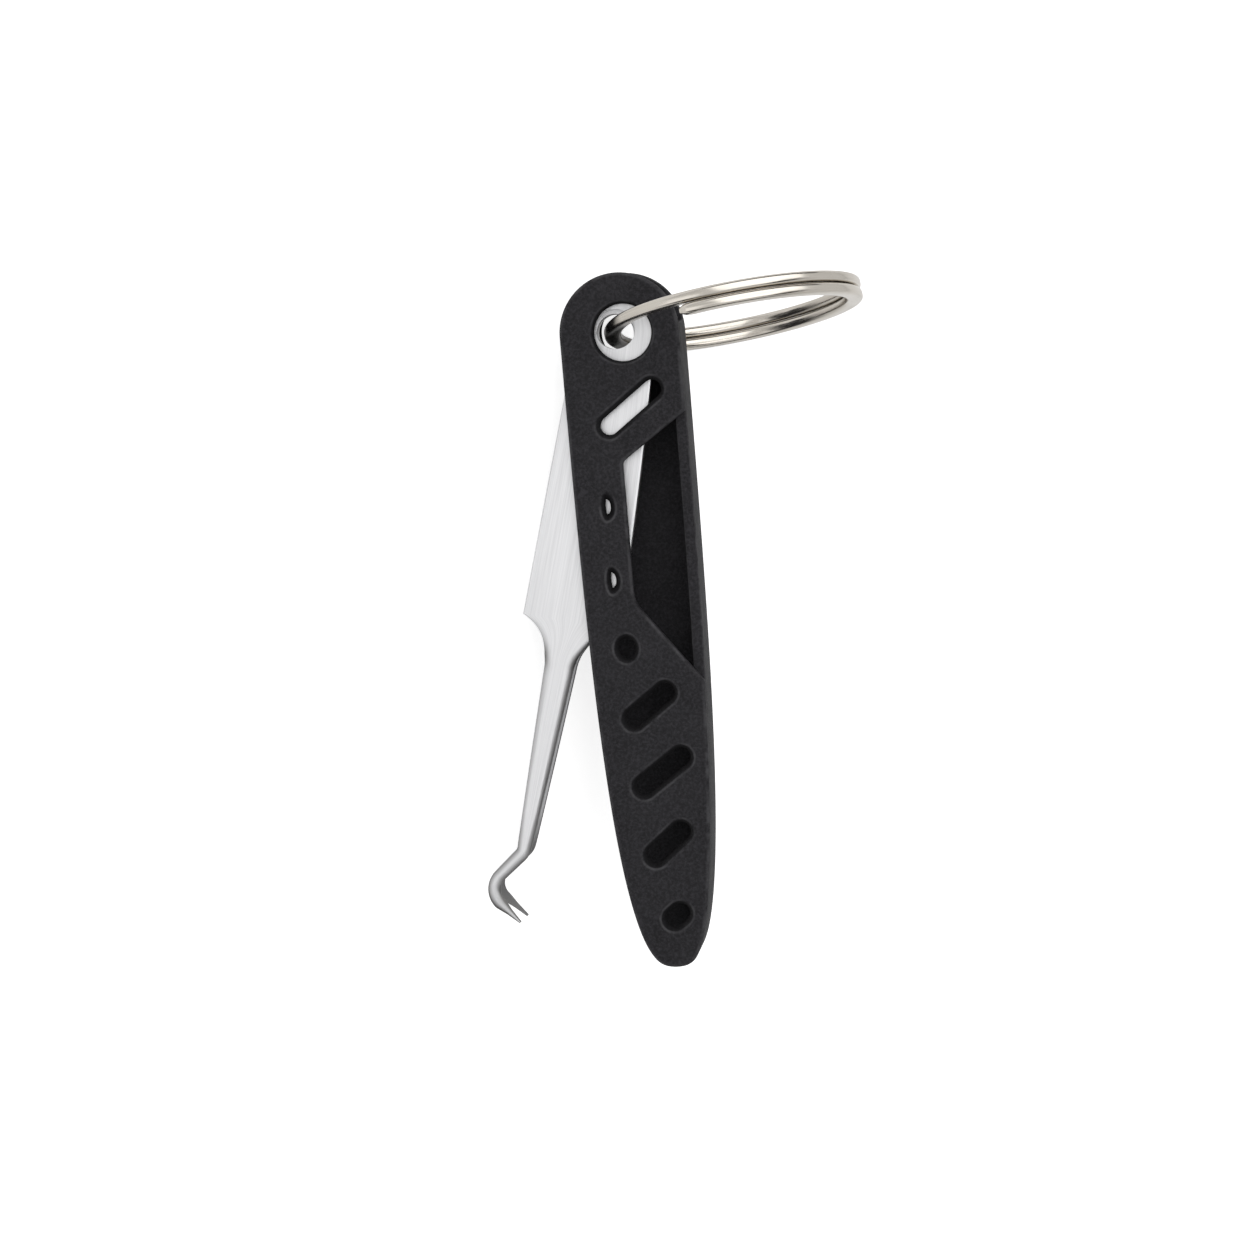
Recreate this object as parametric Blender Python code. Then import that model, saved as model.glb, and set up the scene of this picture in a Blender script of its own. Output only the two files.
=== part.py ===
"""Hooked pocket tweezers that swing into a slotted plastic sheath, carried on a split key ring.

Everything is drawn in the sheath's own directions: u to the right across its face, v along it
towards the ring end, and n out of the slotted face, with the ring hole's centre as zero.
One parent empty then lays the sheath down as it rests on a table: on the rim of its ring, on
its left edge and on the elbow of the rear blade's hook.
"""

import math

import bmesh
import bpy
from mathutils import Matrix, Vector

MM = 0.001

# Sheath: two flat plates a slot apart, joined by a wall down the right side and round the tip
SHEATH_AXIS = -0.3 * MM
SHEATH_HALF_WIDTH = 5.7 * MM
SHEATH_THICKNESS = 6.5 * MM
PLATE_THICKNESS = 0.9 * MM
PLATE_BEVEL = 0.17 * MM
SEAM_GAP = 0.3 * MM
TAPER_START = -6.0 * MM
TAPER_MIDDLE = (5.6 * MM, -30.0 * MM)
TAPER_TIP = (5.45 * MM, -61.0 * MM)
TIP_END = -61.1 * MM
TIP_AXIS = 0.2 * MM
TIP_FLAT_HALF = 0.8 * MM
WALL_THICKNESS = 1.1 * MM
WALL_TOP = 0.9 * MM
WALL_LEFT_END = -60.0 * MM
RING_HOLE_RADIUS = 2.7 * MM
RING_HOLE_DRAFT = 0.25 * MM
# The holes of the face narrow towards its inside by the draft
HOLE_DRAFT = 0.46 * MM
OVAL_HOLE = (-2.16 * MM, -30.0 * MM)
OVAL_HOLE_RADII = (1.25 * MM, 1.45 * MM)
D_HOLE_RADII = (0.5 * MM, 0.97 * MM, 1.38 * MM)
D_HOLES = [(-2.98 * MM, -16.37 * MM), (-3.06 * MM, -23.4 * MM)]
SLOT_RADIUS = 1.31 * MM
# Each slanting slot by the centres of its two round ends
SLOTS = [
    ((-2.0 * MM, -8.7 * MM), (2.3 * MM, -5.55 * MM)),
    ((-2.0 * MM, -36.8 * MM), (1.15 * MM, -34.5 * MM)),
    ((-1.6 * MM, -43.4 * MM), (2.15 * MM, -40.8 * MM)),
    ((-1.05 * MM, -50.1 * MM), (1.55 * MM, -48.0 * MM)),
    ((0.22 * MM, -56.36 * MM), (0.83 * MM, -55.9 * MM)),
]
WINDOW_TOP = -7.8 * MM
WINDOW_BOTTOM = -33.6 * MM
WINDOW_LEFT = -1.0 * MM
WINDOW_HEAD_CORNER = -12.2 * MM
WINDOW_FOOT_CORNER = -25.6 * MM
WINDOW_FILLET = 0.6 * MM
WINDOW_FOOT_FILLET = 3.0 * MM

# Tweezers: s runs from the eye to the points, w across the blade from its middle line
EYE_CENTRE = (-0.9 * MM, 0.0, 0.0)
SWING_REST = math.radians(13.4)
EYE_RADIUS = 2.15 * MM
HEEL_RADIUS = 3.62 * MM
# How much wider the grip is on its right than on its left: at the eye, at half way, at the shoulder
GRIP_MORE = [0.25 * MM, 0.65 * MM, 0.0]
BLADE_THICKNESS = 0.8 * MM
BLADE_EDGE = 0.12 * MM
SPACER_THICKNESS = 1.0 * MM
SPACER_END = 5.2 * MM
SPACER_MARGIN = 0.25 * MM
FLEX_START = 6.0 * MM
SHOULDER_START = 27.9 * MM
SHOULDER_HALF = 4.8 * MM
SHOULDER_CONTROL = (29.1 * MM, 1.9 * MM)
SHOULDER_END = 32.4 * MM
ARM_HALF = 1.42 * MM
ARM_ROOT = (-0.6 * MM, 31.5 * MM)
ARM_WAIST = 41.5 * MM
ARM_WAIST_HALF = 1.07 * MM
ARM_BEVEL_DEPTH = 0.45 * MM
ARM_BEVEL_SHARE = 0.55
CROWN_MIDDLE = (0.45, 0.32)
NECK = (-1.55 * MM, 50.9 * MM)
NECK_HALF = 0.55 * MM
NECK_BEND_RADIUS = 1.3 * MM
ELBOW = (-4.65 * MM, 55.2 * MM)
ELBOW_HALF = 0.52 * MM
ELBOW_BEND_RADIUS = 1.9 * MM
POINT = (-0.73 * MM, 57.8 * MM)
POINT_HALF = 0.1 * MM
POINT_THICKNESS = 0.35 * MM
POINT_INNER = 1.4 * MM

# Split ring: flat wire wound almost twice round, crossing from one level to the other in the hole
RING_AXIS = (-0.73 * MM, 0.0, 0.0)
RING_OUTER_RADIUS = 12.45 * MM
RING_WIRE_RADIAL = 1.6 * MM
RING_WIRE_AXIAL = 0.9 * MM
RING_WIRE_CORNER = 0.28 * MM
RING_PITCH = 1.36 * MM
RING_REACH = 1.27 * MM
RING_DROP = 0.38 * MM
RING_DIRECTION = math.radians(6.6)
RING_TILT = math.radians(8.0)
RING_NEAR_END = math.radians(73.0)
RING_FAR_END = math.radians(45.0)
RING_CROSSING = math.radians(50.0)
RING_STEP = math.radians(7.5)

# How the whole thing lies on a table
REST_LEAN = math.radians(-6.37)
REST_ROLL = math.radians(36.34)
REST_HOLE_CENTRE = (-2.718 * MM, 27.43 * MM, 6.091 * MM)

HALF_THICKNESS = SHEATH_THICKNESS / 2
CAVITY_HALF = HALF_THICKNESS - PLATE_THICKNESS


def clear_scene():
    """Take every object out of the scene."""
    for item in list(bpy.data.objects):
        bpy.data.objects.remove(item, do_unlink=True)


def make_material(name, colour, roughness, metallic):
    """A plain surface finish."""
    finish = bpy.data.materials.new(name)
    finish.use_nodes = True
    shader = finish.node_tree.nodes["Principled BSDF"]
    shader.inputs["Base Color"].default_value = (*colour, 1.0)
    shader.inputs["Roughness"].default_value = roughness
    shader.inputs["Metallic"].default_value = metallic
    return finish


def add_empty(name, parent, matrix):
    """An empty that carries the pieces of one moving body."""
    empty = bpy.data.objects.new(name, None)
    bpy.context.scene.collection.objects.link(empty)
    empty.parent = parent
    empty.matrix_local = matrix
    return empty


def add_piece(name, bm, parent, finish, smooth_angle=math.radians(30)):
    """Turn a bmesh into a named, smooth-shaded piece."""
    bmesh.ops.recalc_face_normals(bm, faces=bm.faces)
    mesh = bpy.data.meshes.new(name)
    bm.to_mesh(mesh)
    bm.free()
    mesh.shade_smooth()
    mesh.set_sharp_from_angle(angle=smooth_angle)
    mesh.materials.append(finish)
    piece = bpy.data.objects.new(name, mesh)
    bpy.context.scene.collection.objects.link(piece)
    piece.parent = parent
    return piece


def arc(centre, radii, start, end, steps):
    """Points on an elliptic arc, both ends included."""
    points = []
    for step in range(steps + 1):
        angle = start + (end - start) * step / steps
        points.append((centre[0] + radii[0] * math.cos(angle), centre[1] + radii[1] * math.sin(angle)))
    return points


def bezier(controls, start, end, steps):
    """Points on a Bezier curve of any order between two of its parameters."""
    points = []
    for step in range(steps + 1):
        t = start + (end - start) * step / steps
        level = [Vector(control) for control in controls]
        while len(level) > 1:
            level = [a.lerp(b, t) for a, b in zip(level, level[1:])]
        points.append(tuple(level[0]))
    return points


def fillet(before, corner, after, radius, steps=5):
    """A round corner that touches both straight sides."""
    corner = Vector(corner)
    towards = (Vector(before) - corner).normalized()
    onwards = (Vector(after) - corner).normalized()
    half_angle = towards.angle(onwards) / 2
    reach = radius / math.tan(half_angle)
    return bezier([corner + towards * reach, corner, corner + onwards * reach], 0.0, 1.0, steps)


def inset(loop, distance):
    """Move a closed loop sideways, into the material on its left."""
    moved = []
    count = len(loop)
    for index in range(count):
        here = Vector(loop[index])
        inwards = (here - Vector(loop[index - 1])).normalized()
        outwards = (Vector(loop[(index + 1) % count]) - here).normalized()
        normal_in = Vector((-inwards.y, inwards.x))
        normal_out = Vector((-outwards.y, outwards.x))
        middle = (normal_in + normal_out).normalized()
        moved.append(tuple(here + middle * distance / max(middle.dot(normal_out), 0.5)))
    return moved


def add_ring_of_points(bm, loop, height):
    """Vertices and edges of one closed loop at one height."""
    verts = [bm.verts.new((point[0], point[1], height)) for point in loop]
    edges = [bm.edges.new((verts[i - 1], verts[i])) for i in range(len(verts))]
    return verts, edges


def add_band(bm, lower, upper):
    """Faces between two closed loops with the same number of points."""
    for i in range(len(lower)):
        bm.faces.new((lower[i - 1], lower[i], upper[i], upper[i - 1]))


def bevelled_plate(walls, bottom, top, bevel):
    """A flat plate with an outer wall and holes, each given by its loop at the bottom and at the top.

    All edges are bevelled, and a hole whose two loops differ narrows from one to the other.
    """
    bm = bmesh.new()
    caps = {bottom: [], top: []}
    for low_loop, high_loop in walls:
        levels = [
            (inset(low_loop, bevel), bottom),
            (low_loop, bottom + bevel),
            (high_loop, top - bevel),
            (inset(high_loop, bevel), top),
        ]
        rings = []
        for loop, height in levels:
            verts, edges = add_ring_of_points(bm, loop, height)
            rings.append(verts)
            if height in caps:
                caps[height].extend(edges)
        for lower, upper in zip(rings, rings[1:]):
            add_band(bm, lower, upper)
    for edges in caps.values():
        bmesh.ops.triangle_fill(bm, use_beauty=True, edges=edges, normal=(0, 0, 1))
    return bm


def circle_hole(centre, radii, steps):
    """A round or oval hole, drawn clockwise."""
    return arc(centre, radii, 2 * math.pi, 0.0, steps)[:-1]


def slot_hole(first, second, radius, steps=10):
    """A straight slot with round ends, drawn clockwise."""
    along = math.atan2(second[1] - first[1], second[0] - first[0])
    quarter = math.pi / 2
    radii = (radius, radius)
    far = arc(second, radii, along + quarter, along - quarter, steps)
    near = arc(first, radii, along - quarter, along - 3 * quarter, steps)
    return far + near


def d_hole(centre, radii, steps=10):
    """Two half ovals of unequal depth that share their height, the flatter one on the left, drawn clockwise."""
    left, right, tall = radii
    quarter = math.pi / 2
    round_side = arc(centre, (right, tall), quarter, -quarter, steps)
    flat_side = arc(centre, (left, tall), -quarter, -3 * quarter, steps)
    return round_side + flat_side[1:-1]


def drafted_pair(shape, radii, draft):
    """The same hole at the bottom and at the top of the face, narrower at the bottom by the draft."""
    return shape([radius - draft for radius in radii]), shape(radii)


def taper_controls(side):
    """Control points of the sheath's tapering edge, from the parallel part to the tip."""
    return [
        (SHEATH_AXIS + side * SHEATH_HALF_WIDTH, TAPER_START),
        (SHEATH_AXIS + side * TAPER_MIDDLE[0], TAPER_MIDDLE[1]),
        (SHEATH_AXIS + side * TAPER_TIP[0], TAPER_TIP[1]),
        (TIP_AXIS + side * TIP_FLAT_HALF, TIP_END),
    ]


def taper_parameter(level):
    """Where along the tapering edge the given v lies, by halving."""
    low, high = 0.0, 1.0
    for _ in range(40):
        middle = (low + high) / 2
        if bezier(taper_controls(1), middle, middle, 1)[0][1] > level:
            low = middle
        else:
            high = middle
    return low


def round_end(start, end, steps):
    """Part of the arc round the ring hole, by its two angles."""
    return arc((SHEATH_AXIS, 0.0), (SHEATH_HALF_WIDTH, SHEATH_HALF_WIDTH), start, end, steps)


def window_edge(foot):
    """The window's rim, from the right edge at its foot to the right edge at its head."""
    right = SHEATH_AXIS + SHEATH_HALF_WIDTH
    foot_corner = (WINDOW_LEFT, WINDOW_FOOT_CORNER)
    head_corner = (WINDOW_LEFT, WINDOW_HEAD_CORNER)
    head = (right, WINDOW_TOP)
    rim = fillet(foot, foot_corner, head_corner, WINDOW_FOOT_FILLET)
    rim += fillet(foot_corner, head_corner, head, WINDOW_FILLET)
    rim += fillet(head_corner, head, (right, 0.0), WINDOW_FILLET)
    return rim


def make_front_plate(parent, finish):
    """The slotted face: slanting slots, smaller holes and a window open to the right."""
    left_edge = bezier(taper_controls(-1), 0.0, 1.0, 40)
    right_edge = bezier(taper_controls(1), 1.0, taper_parameter(WINDOW_BOTTOM), 32)
    outline = round_end(0.0, math.pi, 28) + left_edge + right_edge + window_edge(right_edge[-1])
    walls = [(outline, outline)]
    wide = RING_HOLE_RADIUS + RING_HOLE_DRAFT
    walls.append(drafted_pair(lambda radii: circle_hole((0.0, 0.0), radii, 32), (wide, wide), RING_HOLE_DRAFT))
    for first, second in SLOTS:
        walls.append(drafted_pair(lambda radii: slot_hole(first, second, *radii), [SLOT_RADIUS], HOLE_DRAFT))
    for place in D_HOLES:
        walls.append(drafted_pair(lambda radii: d_hole(place, radii), D_HOLE_RADII, HOLE_DRAFT))
    walls.append(drafted_pair(lambda radii: circle_hole(OVAL_HOLE, radii, 20), OVAL_HOLE_RADII, HOLE_DRAFT))
    bm = bevelled_plate(walls, CAVITY_HALF, HALF_THICKNESS, PLATE_BEVEL)
    return add_piece("front_plate", bm, parent, finish)


def make_rear_shell(parent, finish):
    """The plain back plate with the wall that stands along its right side and round its tip."""
    wall_end = taper_parameter(WALL_LEFT_END)
    wall_angle = math.asin(WALL_TOP / SHEATH_HALF_WIDTH)
    open_edge = round_end(wall_angle, math.pi, 28) + bezier(taper_controls(-1), 0.0, wall_end, 32)
    wall_edge = bezier(taper_controls(-1), wall_end, 1.0, 6)
    wall_edge += bezier(taper_controls(1), 1.0, 0.0, 40)
    wall_edge += round_end(0.0, wall_angle, 2)
    outline = open_edge[:-1] + wall_edge[:-1]
    inner = inset(outline, WALL_THICKNESS)
    first = len(open_edge) - 1
    count = len(outline)
    wall_indices = [i % count for i in range(first, count + 1)]
    inner_wall = [inner[i] for i in wall_indices]

    bm = bmesh.new()
    floor = -CAVITY_HALF
    wall_top = CAVITY_HALF - SEAM_GAP
    back_ring, back_edges = add_ring_of_points(bm, inset(outline, PLATE_BEVEL), -HALF_THICKNESS)
    side_ring, _ = add_ring_of_points(bm, outline, -HALF_THICKNESS + PLATE_BEVEL)
    floor_ring, _ = add_ring_of_points(bm, outline, floor)
    add_band(bm, back_ring, side_ring)
    add_band(bm, side_ring, floor_ring)

    hole = circle_hole((0.0, 0.0), (RING_HOLE_RADIUS, RING_HOLE_RADIUS), 32)
    hole_back, hole_back_edges = add_ring_of_points(bm, inset(hole, PLATE_BEVEL), -HALF_THICKNESS)
    hole_side, _ = add_ring_of_points(bm, hole, -HALF_THICKNESS + PLATE_BEVEL)
    hole_floor, hole_floor_edges = add_ring_of_points(bm, hole, floor)
    add_band(bm, hole_back, hole_side)
    add_band(bm, hole_side, hole_floor)

    foot = [bm.verts.new((*point, floor)) for point in inner_wall]
    crest_in = [bm.verts.new((*point, wall_top)) for point in inner_wall]
    outer_foot = [floor_ring[i] for i in wall_indices]
    crest_out = [bm.verts.new((*outline[i], wall_top)) for i in wall_indices]
    for i in range(len(foot) - 1):
        bm.faces.new((foot[i], foot[i + 1], crest_in[i + 1], crest_in[i]))
        bm.faces.new((crest_in[i], crest_in[i + 1], crest_out[i + 1], crest_out[i]))
        bm.faces.new((crest_out[i], crest_out[i + 1], outer_foot[i + 1], outer_foot[i]))
    for i in (0, -1):
        bm.faces.new((foot[i], crest_in[i], crest_out[i], outer_foot[i]))

    floor_edges = [bm.edges.get((a, b)) for a, b in zip(foot, foot[1:])]
    floor_edges += [bm.edges.get((foot[i], outer_foot[i])) for i in (0, -1)]
    floor_edges += [bm.edges.get((floor_ring[i], floor_ring[i + 1])) for i in range(first)]
    for edges in (floor_edges + hole_floor_edges, back_edges + hole_back_edges):
        bmesh.ops.triangle_fill(bm, use_beauty=True, edges=edges, normal=(0, 0, 1))
    return add_piece("rear_shell", bm, parent, finish)


def loft(bm, sections):
    """Skin over a row of sections with equal numbers of points, both ends closed."""
    rows = [[bm.verts.new(point) for point in section] for section in sections]
    for row, following in zip(rows, rows[1:]):
        add_band(bm, row, following)
    bm.faces.new(rows[0])
    bm.faces.new(reversed(rows[-1]))


def arm_half_width(s):
    """Half the slim arm's width: slow taper to the waist, quicker from there to the neck."""
    if s < ARM_WAIST:
        return ARM_HALF + (ARM_WAIST_HALF - ARM_HALF) * (s - SHOULDER_END) / (ARM_WAIST - SHOULDER_END)
    return ARM_WAIST_HALF + (NECK_HALF - ARM_WAIST_HALF) * (s - ARM_WAIST) / (NECK[1] - ARM_WAIST)


def arm_centre(s):
    """How far the arm's middle line has moved sideways at a distance from the eye."""
    if s < ARM_ROOT[1]:
        return ARM_ROOT[0] * max(s - SHOULDER_START, 0.0) / (ARM_ROOT[1] - SHOULDER_START)
    return ARM_ROOT[0] + (NECK[0] - ARM_ROOT[0]) * (s - ARM_ROOT[1]) / (NECK[1] - ARM_ROOT[1])


def bend_stations(corner, arriving, leaving, radius, half):
    """Stations round one bend of the hook, tangent to the runs on both sides."""
    turn = -arriving.angle_signed(leaving)
    start = corner - arriving * radius * math.tan(abs(turn) / 2)
    centre = start + Vector((-arriving.y, arriving.x)) * math.copysign(radius, turn)
    steps = max(5, round(abs(turn) / math.radians(12)))
    stations = []
    for step in range(steps + 1):
        swing = Matrix.Rotation(turn * step / steps, 2)
        stations.append((centre + swing @ (start - centre), swing @ arriving, half, 1.0))
    return stations


def blade_stations():
    """Centre line of a blade: place in w and s, direction, half width, and how far it is ground."""
    straight = Vector((0.0, 1.0))
    stations = []
    for degrees in range(6, 90, 9):
        angle = math.radians(degrees)
        more = GRIP_MORE[0] / 2 * math.sin(angle)
        place = Vector((more, -HEEL_RADIUS * math.cos(angle)))
        stations.append((place, straight, HEEL_RADIUS * math.sin(angle) + more, 0.0))
    for step in range(9):
        share = step / 8
        half = HEEL_RADIUS + (SHOULDER_HALF - HEEL_RADIUS) * share
        more = bezier([(0.0, value) for value in GRIP_MORE], share, share, 1)[0][1] / 2
        stations.append((Vector((more, SHOULDER_START * share)), straight, half + more, 0.0))
    shoulder = [(SHOULDER_START, SHOULDER_HALF), SHOULDER_CONTROL, (SHOULDER_END, ARM_HALF)]
    curve = bezier(shoulder, 0.0, 1.0, 10)[1:]
    for step, (s, half) in enumerate(curve, 1):
        stations.append((Vector((arm_centre(s), s)), straight, half, step / len(curve)))

    neck = Vector(NECK)
    elbow = Vector(ELBOW)
    point = Vector(POINT)
    along = (neck - Vector(ARM_ROOT)).normalized()
    out = (elbow - neck).normalized()
    back = (point - elbow).normalized()
    for step in range(1, 6):
        s = SHOULDER_END + (NECK[1] - NECK_BEND_RADIUS - SHOULDER_END) * step / 6
        stations.append((Vector((arm_centre(s), s)), along, arm_half_width(s), 1.0))
    stations += bend_stations(neck, along, out, NECK_BEND_RADIUS, NECK_HALF)
    stations += bend_stations(elbow, out, back, ELBOW_BEND_RADIUS, ELBOW_HALF)
    last_bend = stations[-1][0]
    stations.append((last_bend.lerp(point, 0.5), back, (ELBOW_HALF + POINT_HALF) / 2, 1.0))
    stations.append((point, back, POINT_HALF, 1.0))
    return stations


def blade_heights(s):
    """The blade's inner and outer height at a distance from the eye: it springs outwards and thins."""
    heel_inner = SPACER_THICKNESS / 2 + SEAM_GAP
    rise = (POINT_INNER - heel_inner) / (POINT[1] - FLEX_START)
    low = heel_inner + rise * max(s - FLEX_START, 0.0)
    thinned = max(s - NECK[1], 0.0) / (POINT[1] - NECK[1])
    return low, low + BLADE_THICKNESS + (POINT_THICKNESS - BLADE_THICKNESS) * thinned


def make_blade(name, side, parent, finish):
    """One blade of the tweezers: a flat stamping, ground along its arm and drawn to a hooked point."""
    sections = []
    for place, direction, half, ground in blade_stations():
        across = Vector((direction.y, -direction.x))
        low, high = blade_heights(place.y)
        edge_width = BLADE_EDGE + ground * (ARM_BEVEL_SHARE * half - BLADE_EDGE)
        edge_width = min(edge_width, ARM_BEVEL_SHARE * half)
        edge_depth = BLADE_EDGE + ground * (ARM_BEVEL_DEPTH - BLADE_EDGE)
        edge_depth = min(edge_depth, ARM_BEVEL_SHARE * (high - low))
        crown_side = half - CROWN_MIDDLE[0] * edge_width
        crown_height = high - CROWN_MIDDLE[1] * edge_depth
        profile = [
            (-half, low),
            (half, low),
            (half, high - edge_depth),
            (crown_side, crown_height),
            (half - edge_width, high),
            (edge_width - half, high),
            (-crown_side, crown_height),
            (-half, high - edge_depth),
        ]
        section = []
        for offset, height in profile:
            spot = place + across * offset
            section.append((spot.x, -spot.y, side * height))
        sections.append(section)
    bm = bmesh.new()
    loft(bm, sections)
    piece = add_piece(name, bm, parent, finish)
    cut_eye(piece, parent)
    return piece


def cut_eye(piece, parent):
    """Bore the eye for the ring through a blade."""
    bm = bmesh.new()
    bmesh.ops.create_cone(
        bm, cap_ends=True, segments=32, radius1=EYE_RADIUS, radius2=EYE_RADIUS, depth=SHEATH_THICKNESS
    )
    cutter = add_piece(piece.name + "_eye_cutter", bm, parent, piece.data.materials[0])
    cutter.hide_render = True
    cutter.display_type = "WIRE"
    bore = piece.modifiers.new("eye", "BOOLEAN")
    bore.operation = "DIFFERENCE"
    bore.solver = "EXACT"
    bore.object = cutter


def make_heel_spacer(parent, finish):
    """The filler between the heels of the two blades, with the same eye."""
    half = HEEL_RADIUS - SPACER_MARGIN
    outline = arc((0.0, 0.0), (half, half), 0.0, math.pi, 20)
    outline += [(-half, -SPACER_END), (half, -SPACER_END)]
    eye = circle_hole((0.0, 0.0), (EYE_RADIUS, EYE_RADIUS), 32)
    walls = [(outline, outline), (eye, eye)]
    bm = bevelled_plate(walls, -SPACER_THICKNESS / 2, SPACER_THICKNESS / 2, BLADE_EDGE)
    return add_piece("heel_spacer", bm, parent, finish)


def ring_level(angle):
    """Height of the ring's wire along the ring's axis: low turn, eased crossing, high turn."""
    progress = (angle - 2 * math.pi) / RING_CROSSING
    progress = min(max(progress, -1.0), 1.0)
    return RING_PITCH / 2 * math.sin(progress * math.pi / 2)


def ring_centres():
    """Angles and centre points of the wire, from its near end to its far end."""
    first = RING_NEAR_END
    last = 4 * math.pi - RING_FAR_END
    steps = round((last - first) / RING_STEP)
    middle = RING_OUTER_RADIUS - RING_WIRE_RADIAL / 2
    centres = []
    for step in range(steps + 1):
        angle = first + (last - first) * step / steps
        place = Vector((-middle * math.cos(angle), ring_level(angle), middle * math.sin(angle)))
        centres.append((angle, place))
    return centres


def least_ring_gap():
    """Smallest clear distance between the wire's two turns."""
    centres = ring_centres()
    apart = []
    for index, (angle, place) in enumerate(centres):
        for later_angle, later_place in centres[index + 1 :]:
            if later_angle - angle > math.pi:
                apart.append((later_place - place).length)
    return min(apart) - RING_WIRE_AXIAL


def make_split_ring(parent, finish):
    """One unbroken flat wire with rounded corners, wound almost twice round."""
    corner = RING_WIRE_CORNER
    half_radial = RING_WIRE_RADIAL / 2
    half_axial = RING_WIRE_AXIAL / 2
    profile = [
        (half_radial, half_axial - corner),
        (half_radial - corner, half_axial),
        (corner - half_radial, half_axial),
        (-half_radial, half_axial - corner),
        (-half_radial, corner - half_axial),
        (corner - half_radial, -half_axial),
        (half_radial - corner, -half_axial),
        (half_radial, corner - half_axial),
    ]
    shift = Vector((RING_OUTER_RADIUS - RING_REACH, -RING_DROP, 0.0))
    sections = []
    for angle, place in ring_centres():
        outwards = Vector((-math.cos(angle), 0.0, math.sin(angle)))
        section = []
        for radial, axial in profile:
            section.append(place + shift + outwards * radial + Vector((0.0, axial, 0.0)))
        sections.append(section)
    bm = bmesh.new()
    loft(bm, sections)
    return add_piece("split_ring", bm, parent, finish)


def main():
    """Build every piece and lay the whole thing down."""
    clear_scene()
    plastic = make_material("matte_black_plastic", (0.04, 0.04, 0.042), 0.6, 0.0)
    steel = make_material("satin_steel", (0.62, 0.62, 0.61), 0.35, 1.0)
    nickel = make_material("bright_nickel", (0.7, 0.68, 0.65), 0.16, 1.0)

    lie = Matrix.Translation(REST_HOLE_CENTRE)
    lie = lie @ Matrix.Rotation(REST_LEAN, 4, "X") @ Matrix.Rotation(-REST_ROLL, 4, "Y")
    sheath = add_empty("sheath_frame", None, lie)
    make_front_plate(sheath, plastic)
    make_rear_shell(sheath, plastic)

    swing = Matrix.Translation(EYE_CENTRE) @ Matrix.Rotation(-SWING_REST, 4, "Z")
    tweezers = add_empty("tweezers_pivot", sheath, swing)
    make_heel_spacer(tweezers, steel)
    make_blade("front_blade", 1, tweezers, steel)
    make_blade("rear_blade", -1, tweezers, steel)

    turn = Matrix.Rotation(RING_DIRECTION, 4, "Z") @ Matrix.Rotation(-RING_TILT, 4, "X")
    ring = add_empty("ring_pivot", sheath, Matrix.Translation(RING_AXIS) @ turn)
    make_split_ring(ring, nickel)
    print("least gap between the ring's turns: %.2f mm" % (least_ring_gap() / MM))


main()
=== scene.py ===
"""Folding pocket tweezers: steel blades, slotted plastic sheath and split key ring, with finishes and stage.

Shapes are worked out in the sheath's own directions, with the ring hole's centre as zero: u to the
right across the slotted face, v along the sheath towards its ring end, n out of the slotted face.
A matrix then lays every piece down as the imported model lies.
"""

import math

import bmesh
import bpy
import numpy as np
from bpy.props import FloatProperty, FloatVectorProperty, PointerProperty
from mathutils import Matrix, Vector


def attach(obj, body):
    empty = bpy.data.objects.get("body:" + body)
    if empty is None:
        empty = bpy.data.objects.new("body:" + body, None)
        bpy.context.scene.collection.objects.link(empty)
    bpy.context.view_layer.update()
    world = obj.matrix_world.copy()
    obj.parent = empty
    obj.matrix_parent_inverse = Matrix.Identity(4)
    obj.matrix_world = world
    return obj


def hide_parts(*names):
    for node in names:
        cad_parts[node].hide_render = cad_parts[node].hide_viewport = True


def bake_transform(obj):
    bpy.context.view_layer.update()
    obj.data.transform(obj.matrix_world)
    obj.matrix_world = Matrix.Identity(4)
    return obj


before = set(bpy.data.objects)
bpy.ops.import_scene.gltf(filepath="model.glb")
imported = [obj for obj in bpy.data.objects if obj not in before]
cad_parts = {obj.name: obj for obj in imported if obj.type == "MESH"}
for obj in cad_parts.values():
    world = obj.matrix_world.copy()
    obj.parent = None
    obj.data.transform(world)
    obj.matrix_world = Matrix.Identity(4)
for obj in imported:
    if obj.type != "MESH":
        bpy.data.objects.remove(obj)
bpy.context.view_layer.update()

bl_info = {
    "name": "Folding pocket tweezers",
    "version": (1, 0, 0),
    "blender": (4, 5, 0),
    "location": "3D View > Sidebar > Tweezers",
    "description": "Hooked tweezers in a slotted sheath on a split ring, with a plain studio stage",
    "category": "Add Mesh",
}

MM = 0.001

# Outline of the sheath, its holes and its window
SHEATH_AXIS = -0.3 * MM
TAPER_START = -6.0 * MM
TAPER_MIDDLE = (5.6 * MM, -30.0 * MM)
TAPER_TIP = (5.45 * MM, -61.0 * MM)
TIP_END = -61.1 * MM
TIP_AXIS = 0.2 * MM
TIP_FLAT_HALF = 0.8 * MM
TIP_ROUND_START = TIP_END + 3.0 * MM
TIP_ROUND_FADE = 1.5 * MM
TIP_ROUND_NEIGHBOURS = 6
WALL_TOP = 0.9 * MM
WALL_LEFT_END = -60.0 * MM
WALL_SOFTENING = 1.6 * MM
RING_HOLE_RADIUS = 2.7 * MM
RING_HOLE_DRAFT = 0.25 * MM
HOLE_DRAFT = 0.46 * MM
OVAL_HOLE = (-2.16 * MM, -30.0 * MM)
OVAL_HOLE_RADII = (1.25 * MM, 1.45 * MM)
D_HOLE_RADII = (0.5 * MM, 0.97 * MM, 1.38 * MM)
D_HOLE_DRAFTS = (0.46 * MM, 0.62 * MM, 0.7 * MM)
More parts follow.
